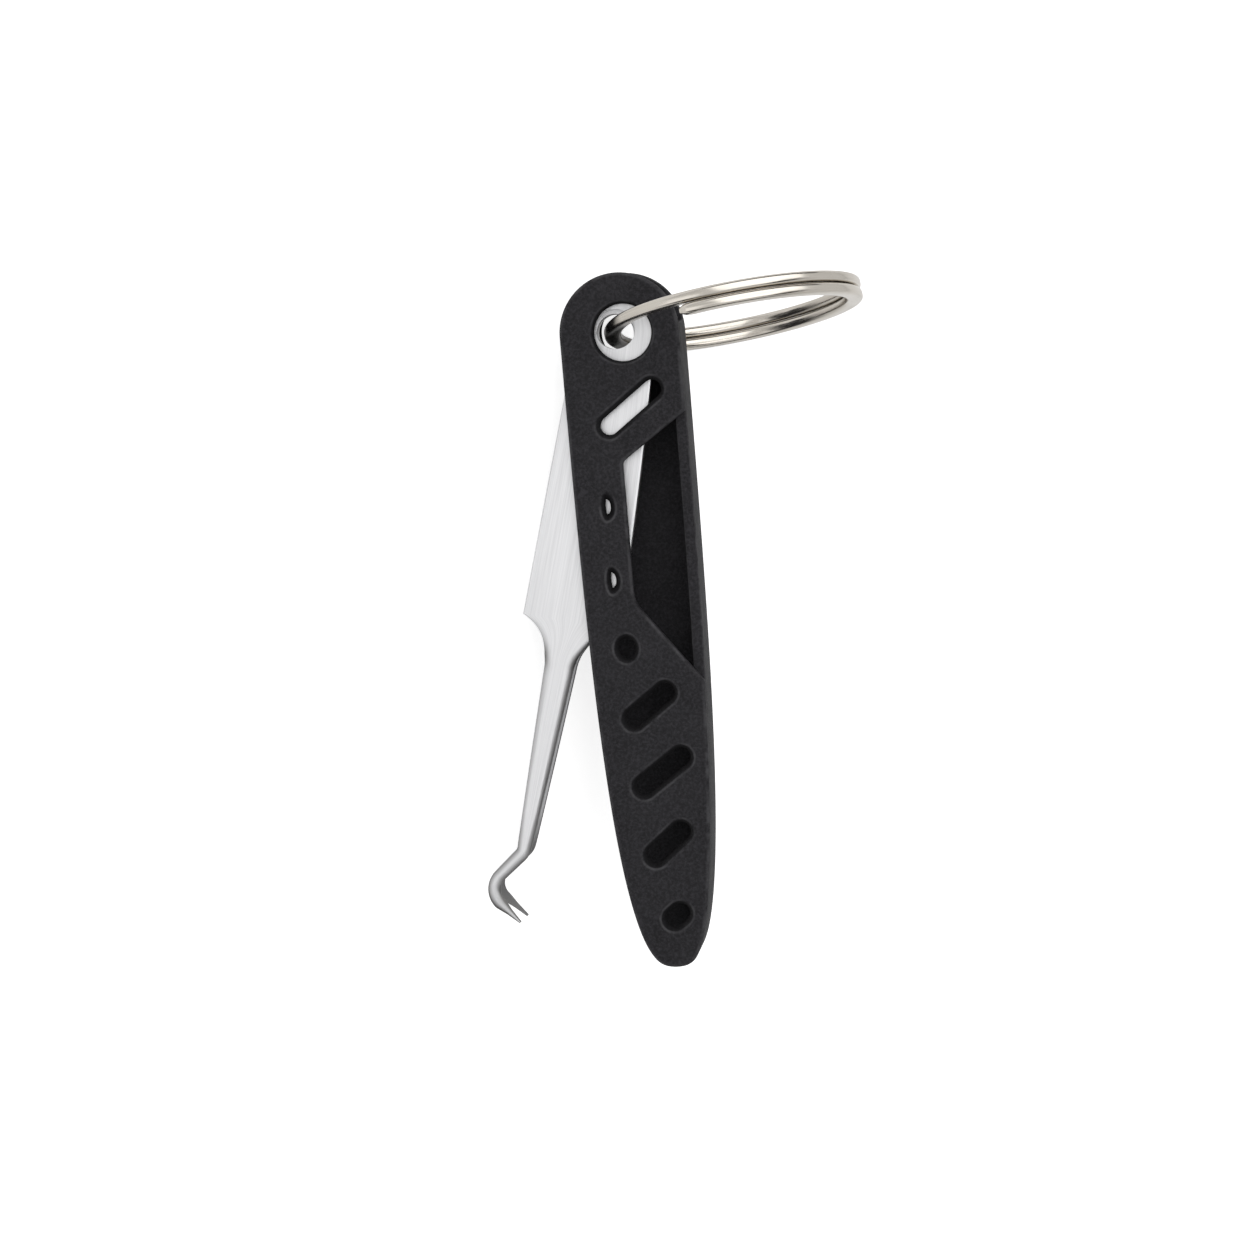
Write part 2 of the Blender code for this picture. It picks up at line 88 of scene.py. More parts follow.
D_HOLES = [(-2.98 * MM, -16.37 * MM), (-3.06 * MM, -23.4 * MM)]
SLOT_RADIUS = 1.31 * MM
SLOTS = [
    ((-2.0 * MM, -8.7 * MM), (2.3 * MM, -5.55 * MM)),
    ((-2.0 * MM, -36.8 * MM), (1.15 * MM, -34.5 * MM)),
    ((-1.6 * MM, -43.4 * MM), (2.15 * MM, -40.8 * MM)),
    ((-1.05 * MM, -50.1 * MM), (1.55 * MM, -48.0 * MM)),
    ((0.22 * MM, -56.36 * MM), (0.83 * MM, -55.9 * MM)),
]
WINDOW_TOP = -7.8 * MM
WINDOW_BOTTOM = -33.6 * MM
WINDOW_LEFT = -1.0 * MM
WINDOW_HEAD_CORNER = -12.2 * MM
WINDOW_FOOT_CORNER = -25.6 * MM
WINDOW_FILLET = 0.6 * MM
WINDOW_FOOT_FILLET = 3.0 * MM
OUTLINE_SPACING = 0.16 * MM
HOLE_SPACING = 0.12 * MM
SHEATH_SEAM = 0.05 * MM
CREST_ROUND = 0.14 * MM
FOOT_ROUND = 0.25 * MM

# Blades: s runs from the eye to the points, w across from the blade's middle line
EYE_CENTRE = (-0.9 * MM, 0.0, 0.0)
SWING_REST = math.radians(13.4)
EYE_RADIUS = 1.9 * MM
EYE_SHIFT = {1: 0.4 * MM, -1: -0.1 * MM}
INNER_EYE_RADIUS = 1.75 * MM
EYE_SIDES = 96
CUTTER_REACH = 5 * MM
HEEL_RADIUS = 3.62 * MM
GRIP_MORE = {1: (0.3 * MM, 0.55 * MM, -0.2 * MM), -1: (0.1 * MM, 0.0, -0.4 * MM)}
HEEL_INNER = 0.8 * MM
SPACER_END = 5.2 * MM
SPACER_MARGIN = 0.25 * MM
SPACER_CLEARANCE = 0.02 * MM
FLEX_START = 6.0 * MM
SHOULDER_START = 27.9 * MM
SHOULDER_HALF = 4.8 * MM
SHOULDER_CONTROL = (29.1 * MM, 1.9 * MM)
SHOULDER_END = 32.4 * MM
SHOULDER_SHADE = SHOULDER_END - 0.9 * MM
SHOULDER_SHADE_REACH = 1.1 * MM
ARM_HALF = 1.42 * MM
ARM_ROOT = (-0.6 * MM, 31.5 * MM)
ARM_WAIST = 41.5 * MM
ARM_WAIST_HALF = 1.07 * MM
NECK = (-1.43 * MM, 50.9 * MM)
NECK_HALF = 0.67 * MM
NECK_BEND_RADIUS = 1.3 * MM
ELBOW = (-4.56 * MM, 55.13 * MM)
ELBOW_HALF = {1: 0.61 * MM, -1: 0.46 * MM}
PRONG_LENGTH = 5.0 * MM
PRONG_FADE = 2.5 * MM
PRONG_SHARE = 0.45
PRONG_HALF = {1: 0.31 * MM, -1: 0.25 * MM}
ELBOW_BEND_RADIUS = 1.9 * MM
POINTS = {1: (-0.73 * MM, 57.8 * MM), -1: (-0.5 * MM, 57.66 * MM)}
POINT_HALF = 0.1 * MM
POINT_THICKNESS = 0.35 * MM
POINT_INNER = 1.4 * MM
BLADE_SPACING = 0.2 * MM

# Split ring: its place, its lean in the hole and where its wire begins and ends
RING_AXIS = (-0.73 * MM, 0.0, 0.0)
RING_REACH = 1.27 * MM
RING_DROP = 0.38 * MM
RING_DIRECTION = math.radians(6.6)
RING_TILT = math.radians(8.0)
RING_NEAR_END = math.radians(71.4)
RING_FAR_END = math.radians(45.0)
RING_CROSSING = math.radians(50.0)
# Painted shade: where the wire runs through the hole it is darkened as if in the hole's shade, fully within
# the first angle and fading out by the second.
RING_HOLE_SHADE = (math.radians(29.0), math.radians(38.0))
RING_STEP = math.radians(2.0)
WIRE_ROUNDNESS = 0.62
WIRE_END_SIZES = (0.55, 0.86, 0.97)

# How the sheath lies on the table, and what hangs on it
REST_LEAN = math.radians(-6.37)
REST_ROLL = math.radians(36.34)
REST_HOLE_CENTRE = (-2.718 * MM, 27.43 * MM, 6.091 * MM)
SHEATH_PLACE = (
    Matrix.Translation(REST_HOLE_CENTRE)
    @ Matrix.Rotation(REST_LEAN, 4, "X")
    @ Matrix.Rotation(-REST_ROLL, 4, "Y")
)
TWEEZERS_PLACE = SHEATH_PLACE @ Matrix.Translation(EYE_CENTRE) @ Matrix.Rotation(-SWING_REST, 4, "Z")
RING_PLACE = (
    SHEATH_PLACE
    @ Matrix.Translation(RING_AXIS)
    @ Matrix.Rotation(RING_DIRECTION, 4, "Z")
    @ Matrix.Rotation(-RING_TILT, 4, "X")
)

# Dark cards: name, direction from the object, width and height
DARK_CARDS = [
    ("foot_card", (-0.2, -0.9, 0.3), 0.9, 0.22),
    ("head_card", (0.1, 0.9, 0.35), 0.9, 0.22),
    ("side_card", (0.35, -0.1, 0.93), 0.5, 0.2),
]
CARD_DISTANCE = 0.5

# Lamps: direction in the sheath's terms, distance and size
KEY_LAMP = ((0.5, 0.42, 0.76), 0.45, 0.7)
FILL_LAMP = ((-0.6, -0.1, 0.75), 0.5, 0.35)

# Floor: half its width, and the share of its lift that metal mirrors
FLOOR_REACH = 4.0
FLOOR_MIRRORED = 0.2
SQUARE = ((-1, -1), (1, -1), (1, 1), (-1, 1))

# Camera, in the sheath's directions
CAMERA_TARGET = (-2.53 * MM, -27.2 * MM, 3.25 * MM)
CAMERA_DISTANCE = 300.0 * MM
CAMERA_AZIMUTH = math.radians(7.4)
CAMERA_ELEVATION = math.radians(5.0)
CAMERA_ROLL = math.radians(4.95)
CAMERA_FRAME_WIDTH = 118.3 * MM
CAMERA_SENSOR = 36.0
CAMERA_CLIP_START = 0.01


# Settings that a user may change


def length_setting(name, description, default):
    """A length in metres."""
    return FloatProperty(name=name, description=description, default=default, unit="LENGTH")


def colour_setting(name, description, default):
    """A colour."""
    return FloatVectorProperty(name=name, description=description, default=default, subtype="COLOR")


def light_setting(name, description, default, unit="NONE"):
    """A brightness, or the power of a lamp, from nothing upwards."""
    return FloatProperty(name=name, description=description, default=default, min=0.0, unit=unit)


class SheathSettings(bpy.types.PropertyGroup):
    """Sizes and colours of the plastic sheath."""

    half_width: length_setting("Half width", "Half the sheath's width at its ring end", 5.7 * MM)
    thickness: length_setting("Thickness", "From the slotted face to the back", 6.5 * MM)
    plate: length_setting("Plate thickness", "Thickness of the face and of the back", 0.9 * MM)
    wall: length_setting("Wall thickness", "Thickness of the wall on the closed side", 1.1 * MM)
    lip: length_setting("Lip radius", "Radius of the rounded edges", 0.2 * MM)
    outer_lip: length_setting("Outer lip radius", "Radius of the face's outer edge", 0.36 * MM)
    colour: colour_setting("Plastic", "Colour of the moulding", (0.0098, 0.0094, 0.0108))
    # Pale edges: partly worn plastic, partly a painted highlight along the rounded lips.
    rubbed_and_sheen: colour_setting("Rubbed edges", "Colour of worn edges", (0.1, 0.098, 0.104))
    # Painted shade: the inside colour darkens the cavity, the inner wall and the hole bores, standing in for
    # the shade that falls there.
    inner: colour_setting("Inside", "Colour inside the sheath", (0.0045, 0.0043, 0.0048))


class BladeSettings(bpy.types.PropertyGroup):
    """Sizes and colours of the steel blades."""

    thickness: length_setting("Thickness", "Thickness of each blade", 0.8 * MM)
    edge: length_setting("Edge", "Width of the broken edge round the grip", 0.14 * MM)
    grind: length_setting("Grind depth", "How deep the arm's flanks are ground", 0.36 * MM)
    colour: colour_setting("Steel", "Colour of the satin steel", (0.79, 0.79, 0.8))
    shade: colour_setting("Brush lines", "Colour in the brush lines", (0.56, 0.56, 0.57))
    # Painted shade and dark reflection on the flanks, the ground edges, the hook and the inner faces.
    dark: colour_setting("Ground edges", "Colour of ground edges and inner faces", (0.13, 0.128, 0.125))


class RingSettings(bpy.types.PropertyGroup):
    """Sizes and colours of the split ring."""

    radius: length_setting("Outer radius", "Outer radius of the ring", 12.42 * MM)
    wire_radial: length_setting("Wire width", "Wire across the ring", 1.6 * MM)
    wire_axial: length_setting("Wire height", "Wire along the ring's axis", 1.08 * MM)
    pitch: length_setting("Pitch", "From one turn to the next", 1.13 * MM)
    colour: colour_setting("Nickel", "Colour of the plating", (0.66, 0.62, 0.56))
    dulled: colour_setting("Dulled nickel", "Colour where the plating is dull", (0.5, 0.465, 0.41))
    # Painted shade on the wire where it lies in the hole.
    hole_shade: colour_setting("Shade_in_hole", "Colour where the wire rubs in the hole", (0.06, 0.054, 0.046))


class StageSettings(bpy.types.PropertyGroup):
    """Light, floor and cards."""

    floor: colour_setting("Floor", "Colour of the floor", (0.9, 0.9, 0.9))
    lift: light_setting("Floor lift", "Brightness the floor adds where it is seen", 0.7)
    world: light_setting("Surround", "Light that the surround gives", 0.34)
    mirrored: light_setting("Mirrored", "Brightness of the mirrored surround", 0.7)
    card: colour_setting("Cards", "Colour of the dark cards", (0.05, 0.042, 0.035))
    key: light_setting("Key lamp", "Power of the key lamp", 1.8, "POWER")
    fill: light_setting("Fill lamp", "Power of the fill lamp", 0.2, "POWER")


# Curves and surfaces as arrays


def arc_points(centre, radii, start, end, count):
    """Ellipse: centre plus radii times the cosine and sine of evenly spaced angles."""
    angle = np.linspace(start, end, count)
    return np.column_stack([centre[0] + radii[0] * np.cos(angle), centre[1] + radii[1] * np.sin(angle)])


def bezier_points(controls, share):
    """Bezier curve by repeated blending: each pass mixes neighbouring controls by the share."""
    level = np.asarray(controls, float)[:, None, :] * np.ones((1, len(share), 1))
    share = np.asarray(share, float)[None, :, None]
    while len(level) > 1:
        level = level[:-1] * (1 - share) + level[1:] * share
    return level[0]


def fillet_points(before, corner, after, radius, count=12):
    """Round corner: a quadratic curve from one tangent point to the other, with the corner as control."""
    before, corner, after = (np.asarray(spot, float) for spot in (before, corner, after))
    towards = (before - corner) / np.linalg.norm(before - corner)
    onwards = (after - corner) / np.linalg.norm(after - corner)
    reach = radius / math.tan(math.acos(float(towards @ onwards)) / 2)
    controls = [corner + towards * reach, corner, corner + onwards * reach]
    return bezier_points(controls, np.linspace(0, 1, count))


def walked_along(points):
    """Length walked along a line of points up to each of them: the running sum of the distances."""
    return np.concatenate([[0.0], np.cumsum(np.linalg.norm(np.diff(points, axis=0), axis=1))])


def even_loop(points, spacing):
    """Closed loop walked at even steps: each coordinate is read off against the length along the loop."""
    closed = np.vstack([points, points[:1]])
    walked = walked_along(closed)
    steps = max(12, int(round(walked[-1] / spacing)))
    at = np.linspace(0.0, walked[-1], steps, endpoint=False)
    return np.column_stack([np.interp(at, walked, closed[:, axis]) for axis in range(2)])


def inward_normals(loop):
    """Mitre at each point: the mean of the left normals beside it, stretched to keep the inset even."""
    edge = np.roll(loop, -1, axis=0) - loop
    edge /= np.linalg.norm(edge, axis=1, keepdims=True)
    after = np.column_stack([-edge[:, 1], edge[:, 0]])
    before = np.roll(after, 1, axis=0)
    middle = before + after
    middle /= np.linalg.norm(middle, axis=1, keepdims=True)
    return middle / np.maximum(np.sum(middle * after, axis=1, keepdims=True), 0.6)


def soften_round(values, reach):
    """Values round a loop, each replaced by the mean of its neighbours within the reach."""
    padded = np.concatenate([values[-reach:], values, values[:reach]])
    total = np.cumsum(np.concatenate([np.zeros((1, values.shape[1])), padded]), axis=0)
    return (total[2 * reach + 1 :] - total[: -2 * reach - 1]) / (2 * reach + 1)


def quarter_round(radius, steps=6):
    """Quarter circle from a face into the wall: its inset, its depth and a value that peaks on the edge."""
    turn = np.linspace(0.0, math.pi / 2, steps + 1)
    return radius * (1 - np.sin(turn)), radius * (1 - np.cos(turn)), np.sin(2 * turn)


def rim_profile(bottom, top, lower, upper, support=0.12 * MM):
    """Rim of a plate from its bottom to its top: flat lip, quarter round, wall, quarter round, flat lip.

    Each row has its inset into the material, its height, its edge value for the pale edges, partly worn and
    partly a painted highlight, and its depth below the top.
    """
    low_in, low_up, low_edge = quarter_round(lower)
    top_in, top_down, top_edge = (values[::-1] for values in quarter_round(upper))
    inset = np.concatenate([[lower + support], low_in, top_in, [upper + support]])
    height = np.concatenate([[bottom], bottom + low_up, top - top_down, [top]])
    sheen_and_wear = np.concatenate([[0.0], low_edge, top_edge, [0.0]])
    return np.column_stack([inset, height, sheen_and_wear, (top - height) / (top - bottom)])


def carry_rim(loop, profile, pull=0.0):
    """Rim carried round a loop: each row moves inwards along the normals, and by the pull times its depth."""
    inset, height, _, depth = (profile[:, column][:, None, None] for column in range(4))
    spread = loop[None] + inward_normals(loop)[None] * inset + np.zeros_like(loop)[None] + pull * depth
    return np.concatenate([spread, np.broadcast_to(height, spread.shape[:2] + (1,))], axis=2)


def grid_quads(rows, columns, first=0):
    """Quads of a grid whose columns close on themselves, counted from the first vertex."""
    i, j = np.meshgrid(np.arange(rows - 1), np.arange(columns), indexing="ij")
    k = (j + 1) % columns
    here, above = i * columns, (i + 1) * columns
    return first + np.stack([here + j, here + k, above + k, above + j], axis=-1).reshape(-1, 4)


def grid_corner_uvs(along, around):
    """Texture place of every quad corner: millimetres along the path, and round the section."""
    rows, columns = len(along), len(around) - 1
    i, j = np.meshgrid(np.arange(rows - 1), np.arange(columns), indexing="ij")
    u = np.stack([along[i], along[i], along[i + 1], along[i + 1]], axis=-1)
    v = np.stack([around[j], around[j + 1], around[j + 1], around[j]], axis=-1)
    return np.stack([u, v], axis=-1).reshape(-1, 2) / MM


def put_down(points, matrix):
    """Points turned and shifted by a 4x4 matrix."""
    move = np.array(matrix)
    return points @ move[:3, :3].T + move[:3, 3]


# Meshes and objects


def add_object(name, data):
    """An object at the origin, put in the scene."""
    piece = bpy.data.objects.new(name, data)
    bpy.context.scene.collection.objects.link(piece)
    return piece


def new_object(name, mesh, finish, sharp):
    """A smooth-shaded object with its faces outwards, its creases sharp and its finish on."""
    bm = bmesh.new()
    bm.from_mesh(mesh)
    bmesh.ops.recalc_face_normals(bm, faces=bm.faces)
    bm.to_mesh(mesh)
    bm.free()
    mesh.shade_smooth()
    mesh.set_sharp_from_angle(angle=math.radians(sharp))
    mesh.materials.clear()
    mesh.materials.append(finish)
    return add_object(name, mesh)


def fill_caps(mesh, heights):
    """Close the flat faces of a plate between its rim and its holes, one height at a time."""
    bm = bmesh.new()
    bm.from_mesh(mesh)
    for height in heights:
        rim = [edge for edge in bm.edges if edge.is_boundary and abs(edge.verts[0].co.z - height) < 1e-7]
        bmesh.ops.triangle_fill(bm, use_beauty=True, edges=rim, normal=(0, 0, 1))
    bm.to_mesh(mesh)
    bm.free()


def plate_mesh(name, rims, caps, matrix):
    """Closed plate from rims, filled at the caps; each rim is its rows, their edge value for the pale edges
    and their share of painted inside shade.
    """
    points, quads = [], []
    values = {"rub_and_sheen": [], "inside": []}
    first = 0
    for rows, rub_and_sheen, inside in rims:
        count, columns = rows.shape[:2]
        points.append(rows.reshape(-1, 3))
        quads.append(grid_quads(count, columns, first))
        values["rub_and_sheen"].append(np.repeat(rub_and_sheen, columns))
        values["inside"].append(np.repeat(inside, columns))
        first += count * columns
    mesh = bpy.data.meshes.new(name)
    mesh.from_pydata(np.vstack(points).tolist(), [], np.vstack(quads).tolist())
    for label, parts in values.items():
        layer = mesh.attributes.new(label, "FLOAT", "POINT")
        layer.data.foreach_set("value", np.concatenate(parts).astype(np.float32))
    fill_caps(mesh, caps)
    mesh.transform(matrix)
    return mesh


def swept_mesh(name, rows, along, around, extra):
    """Closed skin over a row of sections, with both ends capped, a texture place and named point values."""
    count, columns = rows.shape[:2]
    quads = grid_quads(count, columns)
    last = (count - 1) * columns
    ends = [list(range(columns))[::-1], list(range(last, last + columns))]
    mesh = bpy.data.meshes.new(name)
    mesh.from_pydata(rows.reshape(-1, 3).tolist(), [], quads.tolist() + ends)
    uv = np.zeros((len(mesh.loops), 2), np.float32)
    uv[: len(quads) * 4] = grid_corner_uvs(along, around)
    mesh.uv_layers.new(name="along").data.foreach_set("uv", uv.ravel())
    for label, values in extra.items():
        layer = mesh.attributes.new(label, "FLOAT", "POINT")
        layer.data.foreach_set("value", np.broadcast_to(values, (count, columns)).astype(np.float32).ravel())
    return mesh


# Sheath


def taper_controls(sheath, side):
    """Control points of the sheath's tapering edge, from the parallel part to the tip."""
    return [
        (SHEATH_AXIS + side * sheath.half_width, TAPER_START),
        (SHEATH_AXIS + side * TAPER_MIDDLE[0], TAPER_MIDDLE[1]),
        (SHEATH_AXIS + side * TAPER_TIP[0], TAPER_TIP[1]),
        (TIP_AXIS + side * TIP_FLAT_HALF, TIP_END),
    ]


def taper_edge(sheath, side, start, end, count=120):
    """Part of the tapering edge, by two levels along the sheath read off the curve."""
    share = np.linspace(0.0, 1.0, 2001)
    curve = bezier_points(taper_controls(sheath, side), share)
    ends = np.interp([-start, -end], -curve[:, 1], share)
    return bezier_points(taper_controls(sheath, side), np.linspace(ends[0], ends[1], count))


def ring_end(sheath, start, end, count=60):
    """Part of the arc round the ring hole."""
    return arc_points((SHEATH_AXIS, 0.0), (sheath.half_width, sheath.half_width), start, end, count)


def face_outline(sheath):
    """Outline of the slotted face, against the clock, with the window cut into its right side."""
    right = SHEATH_AXIS + sheath.half_width
    left_edge = taper_edge(sheath, -1, TAPER_START, TIP_END)
    right_edge = taper_edge(sheath, 1, TIP_END, WINDOW_BOTTOM)
    foot_corner = (WINDOW_LEFT, WINDOW_FOOT_CORNER)
    head_corner = (WINDOW_LEFT, WINDOW_HEAD_CORNER)
    head = (right, WINDOW_TOP)
    parts = [
        ring_end(sheath, 0.0, math.pi),
        left_edge,
        right_edge,
        fillet_points(right_edge[-1], foot_corner, head_corner, WINDOW_FOOT_FILLET),
        fillet_points(foot_corner, head_corner, head, WINDOW_FILLET),
        fillet_points(head_corner, head, (right, 0.0), WINDOW_FILLET),
    ]
    return round_tip(even_loop(np.vstack(parts), OUTLINE_SPACING))


def round_tip(outline):
    """Outline with the tip's corners rounded: near the end each point is the mean of its neighbours."""
    share = np.clip((TIP_ROUND_START - outline[:, 1]) / TIP_ROUND_FADE, 0.0, 1.0)[:, None]
    return outline * (1 - share) + soften_round(outline, TIP_ROUND_NEIGHBOURS) * share


def slot_loop(first, second, radius):
    """Straight slot with round ends, drawn clockwise."""
    along = math.atan2(second[1] - first[1], second[0] - first[0])
    quarter = math.pi / 2
    far = arc_points(second, (radius, radius), along + quarter, along - quarter, 40)
    near = arc_points(first, (radius, radius), along - quarter, along - 3 * quarter, 40)
    return even_loop(np.vstack([far, near]), HOLE_SPACING)


def oval_loop(centre, radii):
    """Round or oval hole, drawn clockwise."""
    return even_loop(arc_points(centre, radii, 2 * math.pi, 0.0, 120)[:-1], HOLE_SPACING)


def d_loop(centre, radii):
    """Two half ovals that share their height, the flatter one on the left, drawn clockwise."""
    left, right, tall = radii
    quarter = math.pi / 2
    round_side = arc_points(centre, (right, tall), quarter, -quarter, 60)
    flat_side = arc_points(centre, (left, tall), -quarter, -3 * quarter, 60)
    return even_loop(np.vstack([round_side, flat_side[1:-1]]), HOLE_SPACING)


def face_holes():
    """Every hole of the face as its loop at the top, and the pull that narrows it towards the inside.

    Round ends are pulled in along their normals by the draft. A half oval is scaled about its centre,
    so that each of its radii loses the draft.
    """
    wide = RING_HOLE_RADIUS + RING_HOLE_DRAFT
    ring_hole = oval_loop((0.0, 0.0), (wide, wide))
    holes = [(ring_hole, -RING_HOLE_DRAFT * inward_normals(ring_hole))]
    even = [slot_loop(first, second, SLOT_RADIUS) for first, second in SLOTS]
    even.append(oval_loop(OVAL_HOLE, OVAL_HOLE_RADII))
    holes += [(loop, -HOLE_DRAFT * inward_normals(loop)) for loop in even]
    for centre in D_HOLES:
        loop = d_loop(centre, D_HOLE_RADII)
        reach = loop - centre
        kept = 1 - np.array(D_HOLE_DRAFTS) / np.array(D_HOLE_RADII)
        sideways = np.where(reach[:, 0] > 0, kept[1], kept[0])
        inner = reach * np.column_stack([sideways, np.full(len(loop), kept[2])])
        holes.append((loop, inner - reach))
    return holes


def make_front_plate(sheath, finish):
    """The slotted face: its rim and the rims of its holes have rounded lips."""
    top = sheath.thickness / 2
    bottom = top - sheath.plate
    edge = rim_profile(bottom, top, sheath.lip, sheath.outer_lip)
    bore = rim_profile(bottom, top, 0.08 * MM, sheath.lip)
    # Painted shade: the underside row of the outer rim and the deeper part of each hole's bore take the dark
    # inside colour.
    rims = [(carry_rim(face_outline(sheath), edge), edge[:, 2], np.floor(edge[:, 3]))]
    shaded = np.clip((bore[:, 3] - 0.12) / 0.25, 0.0, 1.0)
    rims += [(carry_rim(loop, bore, pull), bore[:, 2], shaded) for loop, pull in face_holes()]
    mesh = plate_mesh("sheath_face", rims, (bottom, top), SHEATH_PLACE)
    return new_object("sheath_face", mesh, finish, 50)


def shell_rows(sheath, outline, wall):
    """Rows of the back shell from its back edge up the side, over the wall's crest and down to its floor.

    The crest stands on the floor by the wall share at each point of the outline, so that the wall
    rises from nothing on the open side to its full height on the closed side.
    """
    back = -sheath.thickness / 2
    floor = back + sheath.plate
    crest = floor + wall * (sheath.thickness - 2 * sheath.plate - SHEATH_SEAM)
    lip_in, lip_up, lip_sheen_and_wear = quarter_round(sheath.lip)
    edge_in, edge_down, edge_sheen_and_wear = quarter_round(CREST_ROUND)
    foot_in, foot_out, _ = quarter_round(FOOT_ROUND)
    outside = [[sheath.lip + 0.12 * MM], lip_in, edge_in[::-1]]
    indoors = [sheath.wall - edge_in, sheath.wall + foot_out, [sheath.wall + FOOT_ROUND + 0.1 * MM]]
    inset = np.concatenate(outside + indoors)
    level = np.ones_like(wall)
    height = np.vstack(
        [
            back * level,
            back + lip_up[:, None] * level,
            crest - edge_down[::-1][:, None],
            np.maximum(crest - edge_down[:, None], floor),
            floor + foot_in[:, None] * wall,
            floor * level,
        ]
    )
    plain = np.zeros(len(foot_in) + 1)
    # Edge values for the pale edges: partly worn, partly a painted highlight along the lips.
    rub_and_sheen = np.concatenate([[0.0], lip_sheen_and_wear, edge_sheen_and_wear[::-1], edge_sheen_and_wear, plain])
    # Painted shade inside: it grows down the inner wall, eases off over the foot and leaves a quarter of it
    # on the floor.
    dim = np.concatenate([np.linspace(0.0, 0.9, len(edge_in)), np.linspace(0.9, 0.3, len(foot_in)), [0.25]])
    inside = np.concatenate([[0.0], 0 * lip_sheen_and_wear, 0 * edge_sheen_and_wear, dim])
    normals = inward_normals(outline)
    softened = soften_round(normals, int(round(WALL_SOFTENING / OUTLINE_SPACING)))
    inset = inset[:, None, None]
    blend = np.clip((inset - 2 * CREST_ROUND) / sheath.wall, 0.0, 1.0)
    spread = outline[None] + (normals[None] * (1 - blend) + softened[None] * blend) * inset
    return np.concatenate([spread, height[:, :, None]], axis=2), rub_and_sheen, inside


def make_rear_shell(sheath, finish):
    """The plain back with the wall that stands along its right side and round its tip."""
    parts = [
        ring_end(sheath, 0.0, math.pi),
        taper_edge(sheath, -1, TAPER_START, TIP_END),
        taper_edge(sheath, 1, TIP_END, TAPER_START),
    ]
    outline = round_tip(even_loop(np.vstack(parts), OUTLINE_SPACING))
    ramp = 0.5 * MM
    right = np.clip((WALL_TOP - outline[:, 1]) / ramp, 0.0, 1.0) * (outline[:, 0] > TIP_AXIS)
    left = np.clip((WALL_LEFT_END - outline[:, 1]) / ramp, 0.0, 1.0) * (outline[:, 0] <= TIP_AXIS)
    wall = right + left
    wall = wall * wall * (3 - 2 * wall)
    back = -sheath.thickness / 2
    floor = back + sheath.plate
    bore = rim_profile(back, floor, sheath.lip, sheath.lip)
    hole = carry_rim(oval_loop((0.0, 0.0), (RING_HOLE_RADIUS, RING_HOLE_RADIUS)), bore)
    # Painted shade in the back's ring hole bore, growing towards the cavity.
    rims = [shell_rows(sheath, outline, wall), (hole, bore[:, 2], 1 - bore[:, 3])]
    mesh = plate_mesh("sheath_back", rims, (back, floor), SHEATH_PLACE)
    return new_object("sheath_back", mesh, finish, 50)


# Blades


def bend_points(corner, arriving, leaving, radius, count=20):
    """Arc that is tangent to the runs before and after a corner."""
    cosine = float(arriving @ leaving)
    turn = math.copysign(math.acos(cosine), arriving[0] * leaving[1] - arriving[1] * leaving[0])
    start = corner - arriving * radius * math.tan(abs(turn) / 2)
    centre = start + np.array([-arriving[1], arriving[0]]) * math.copysign(radius, turn)
    angle = np.linspace(0.0, turn, count)
    spoke = start - centre
    cos, sin = np.cos(angle), np.sin(angle)
    return centre + np.column_stack([spoke[0] * cos - spoke[1] * sin, spoke[0] * sin + spoke[1] * cos])


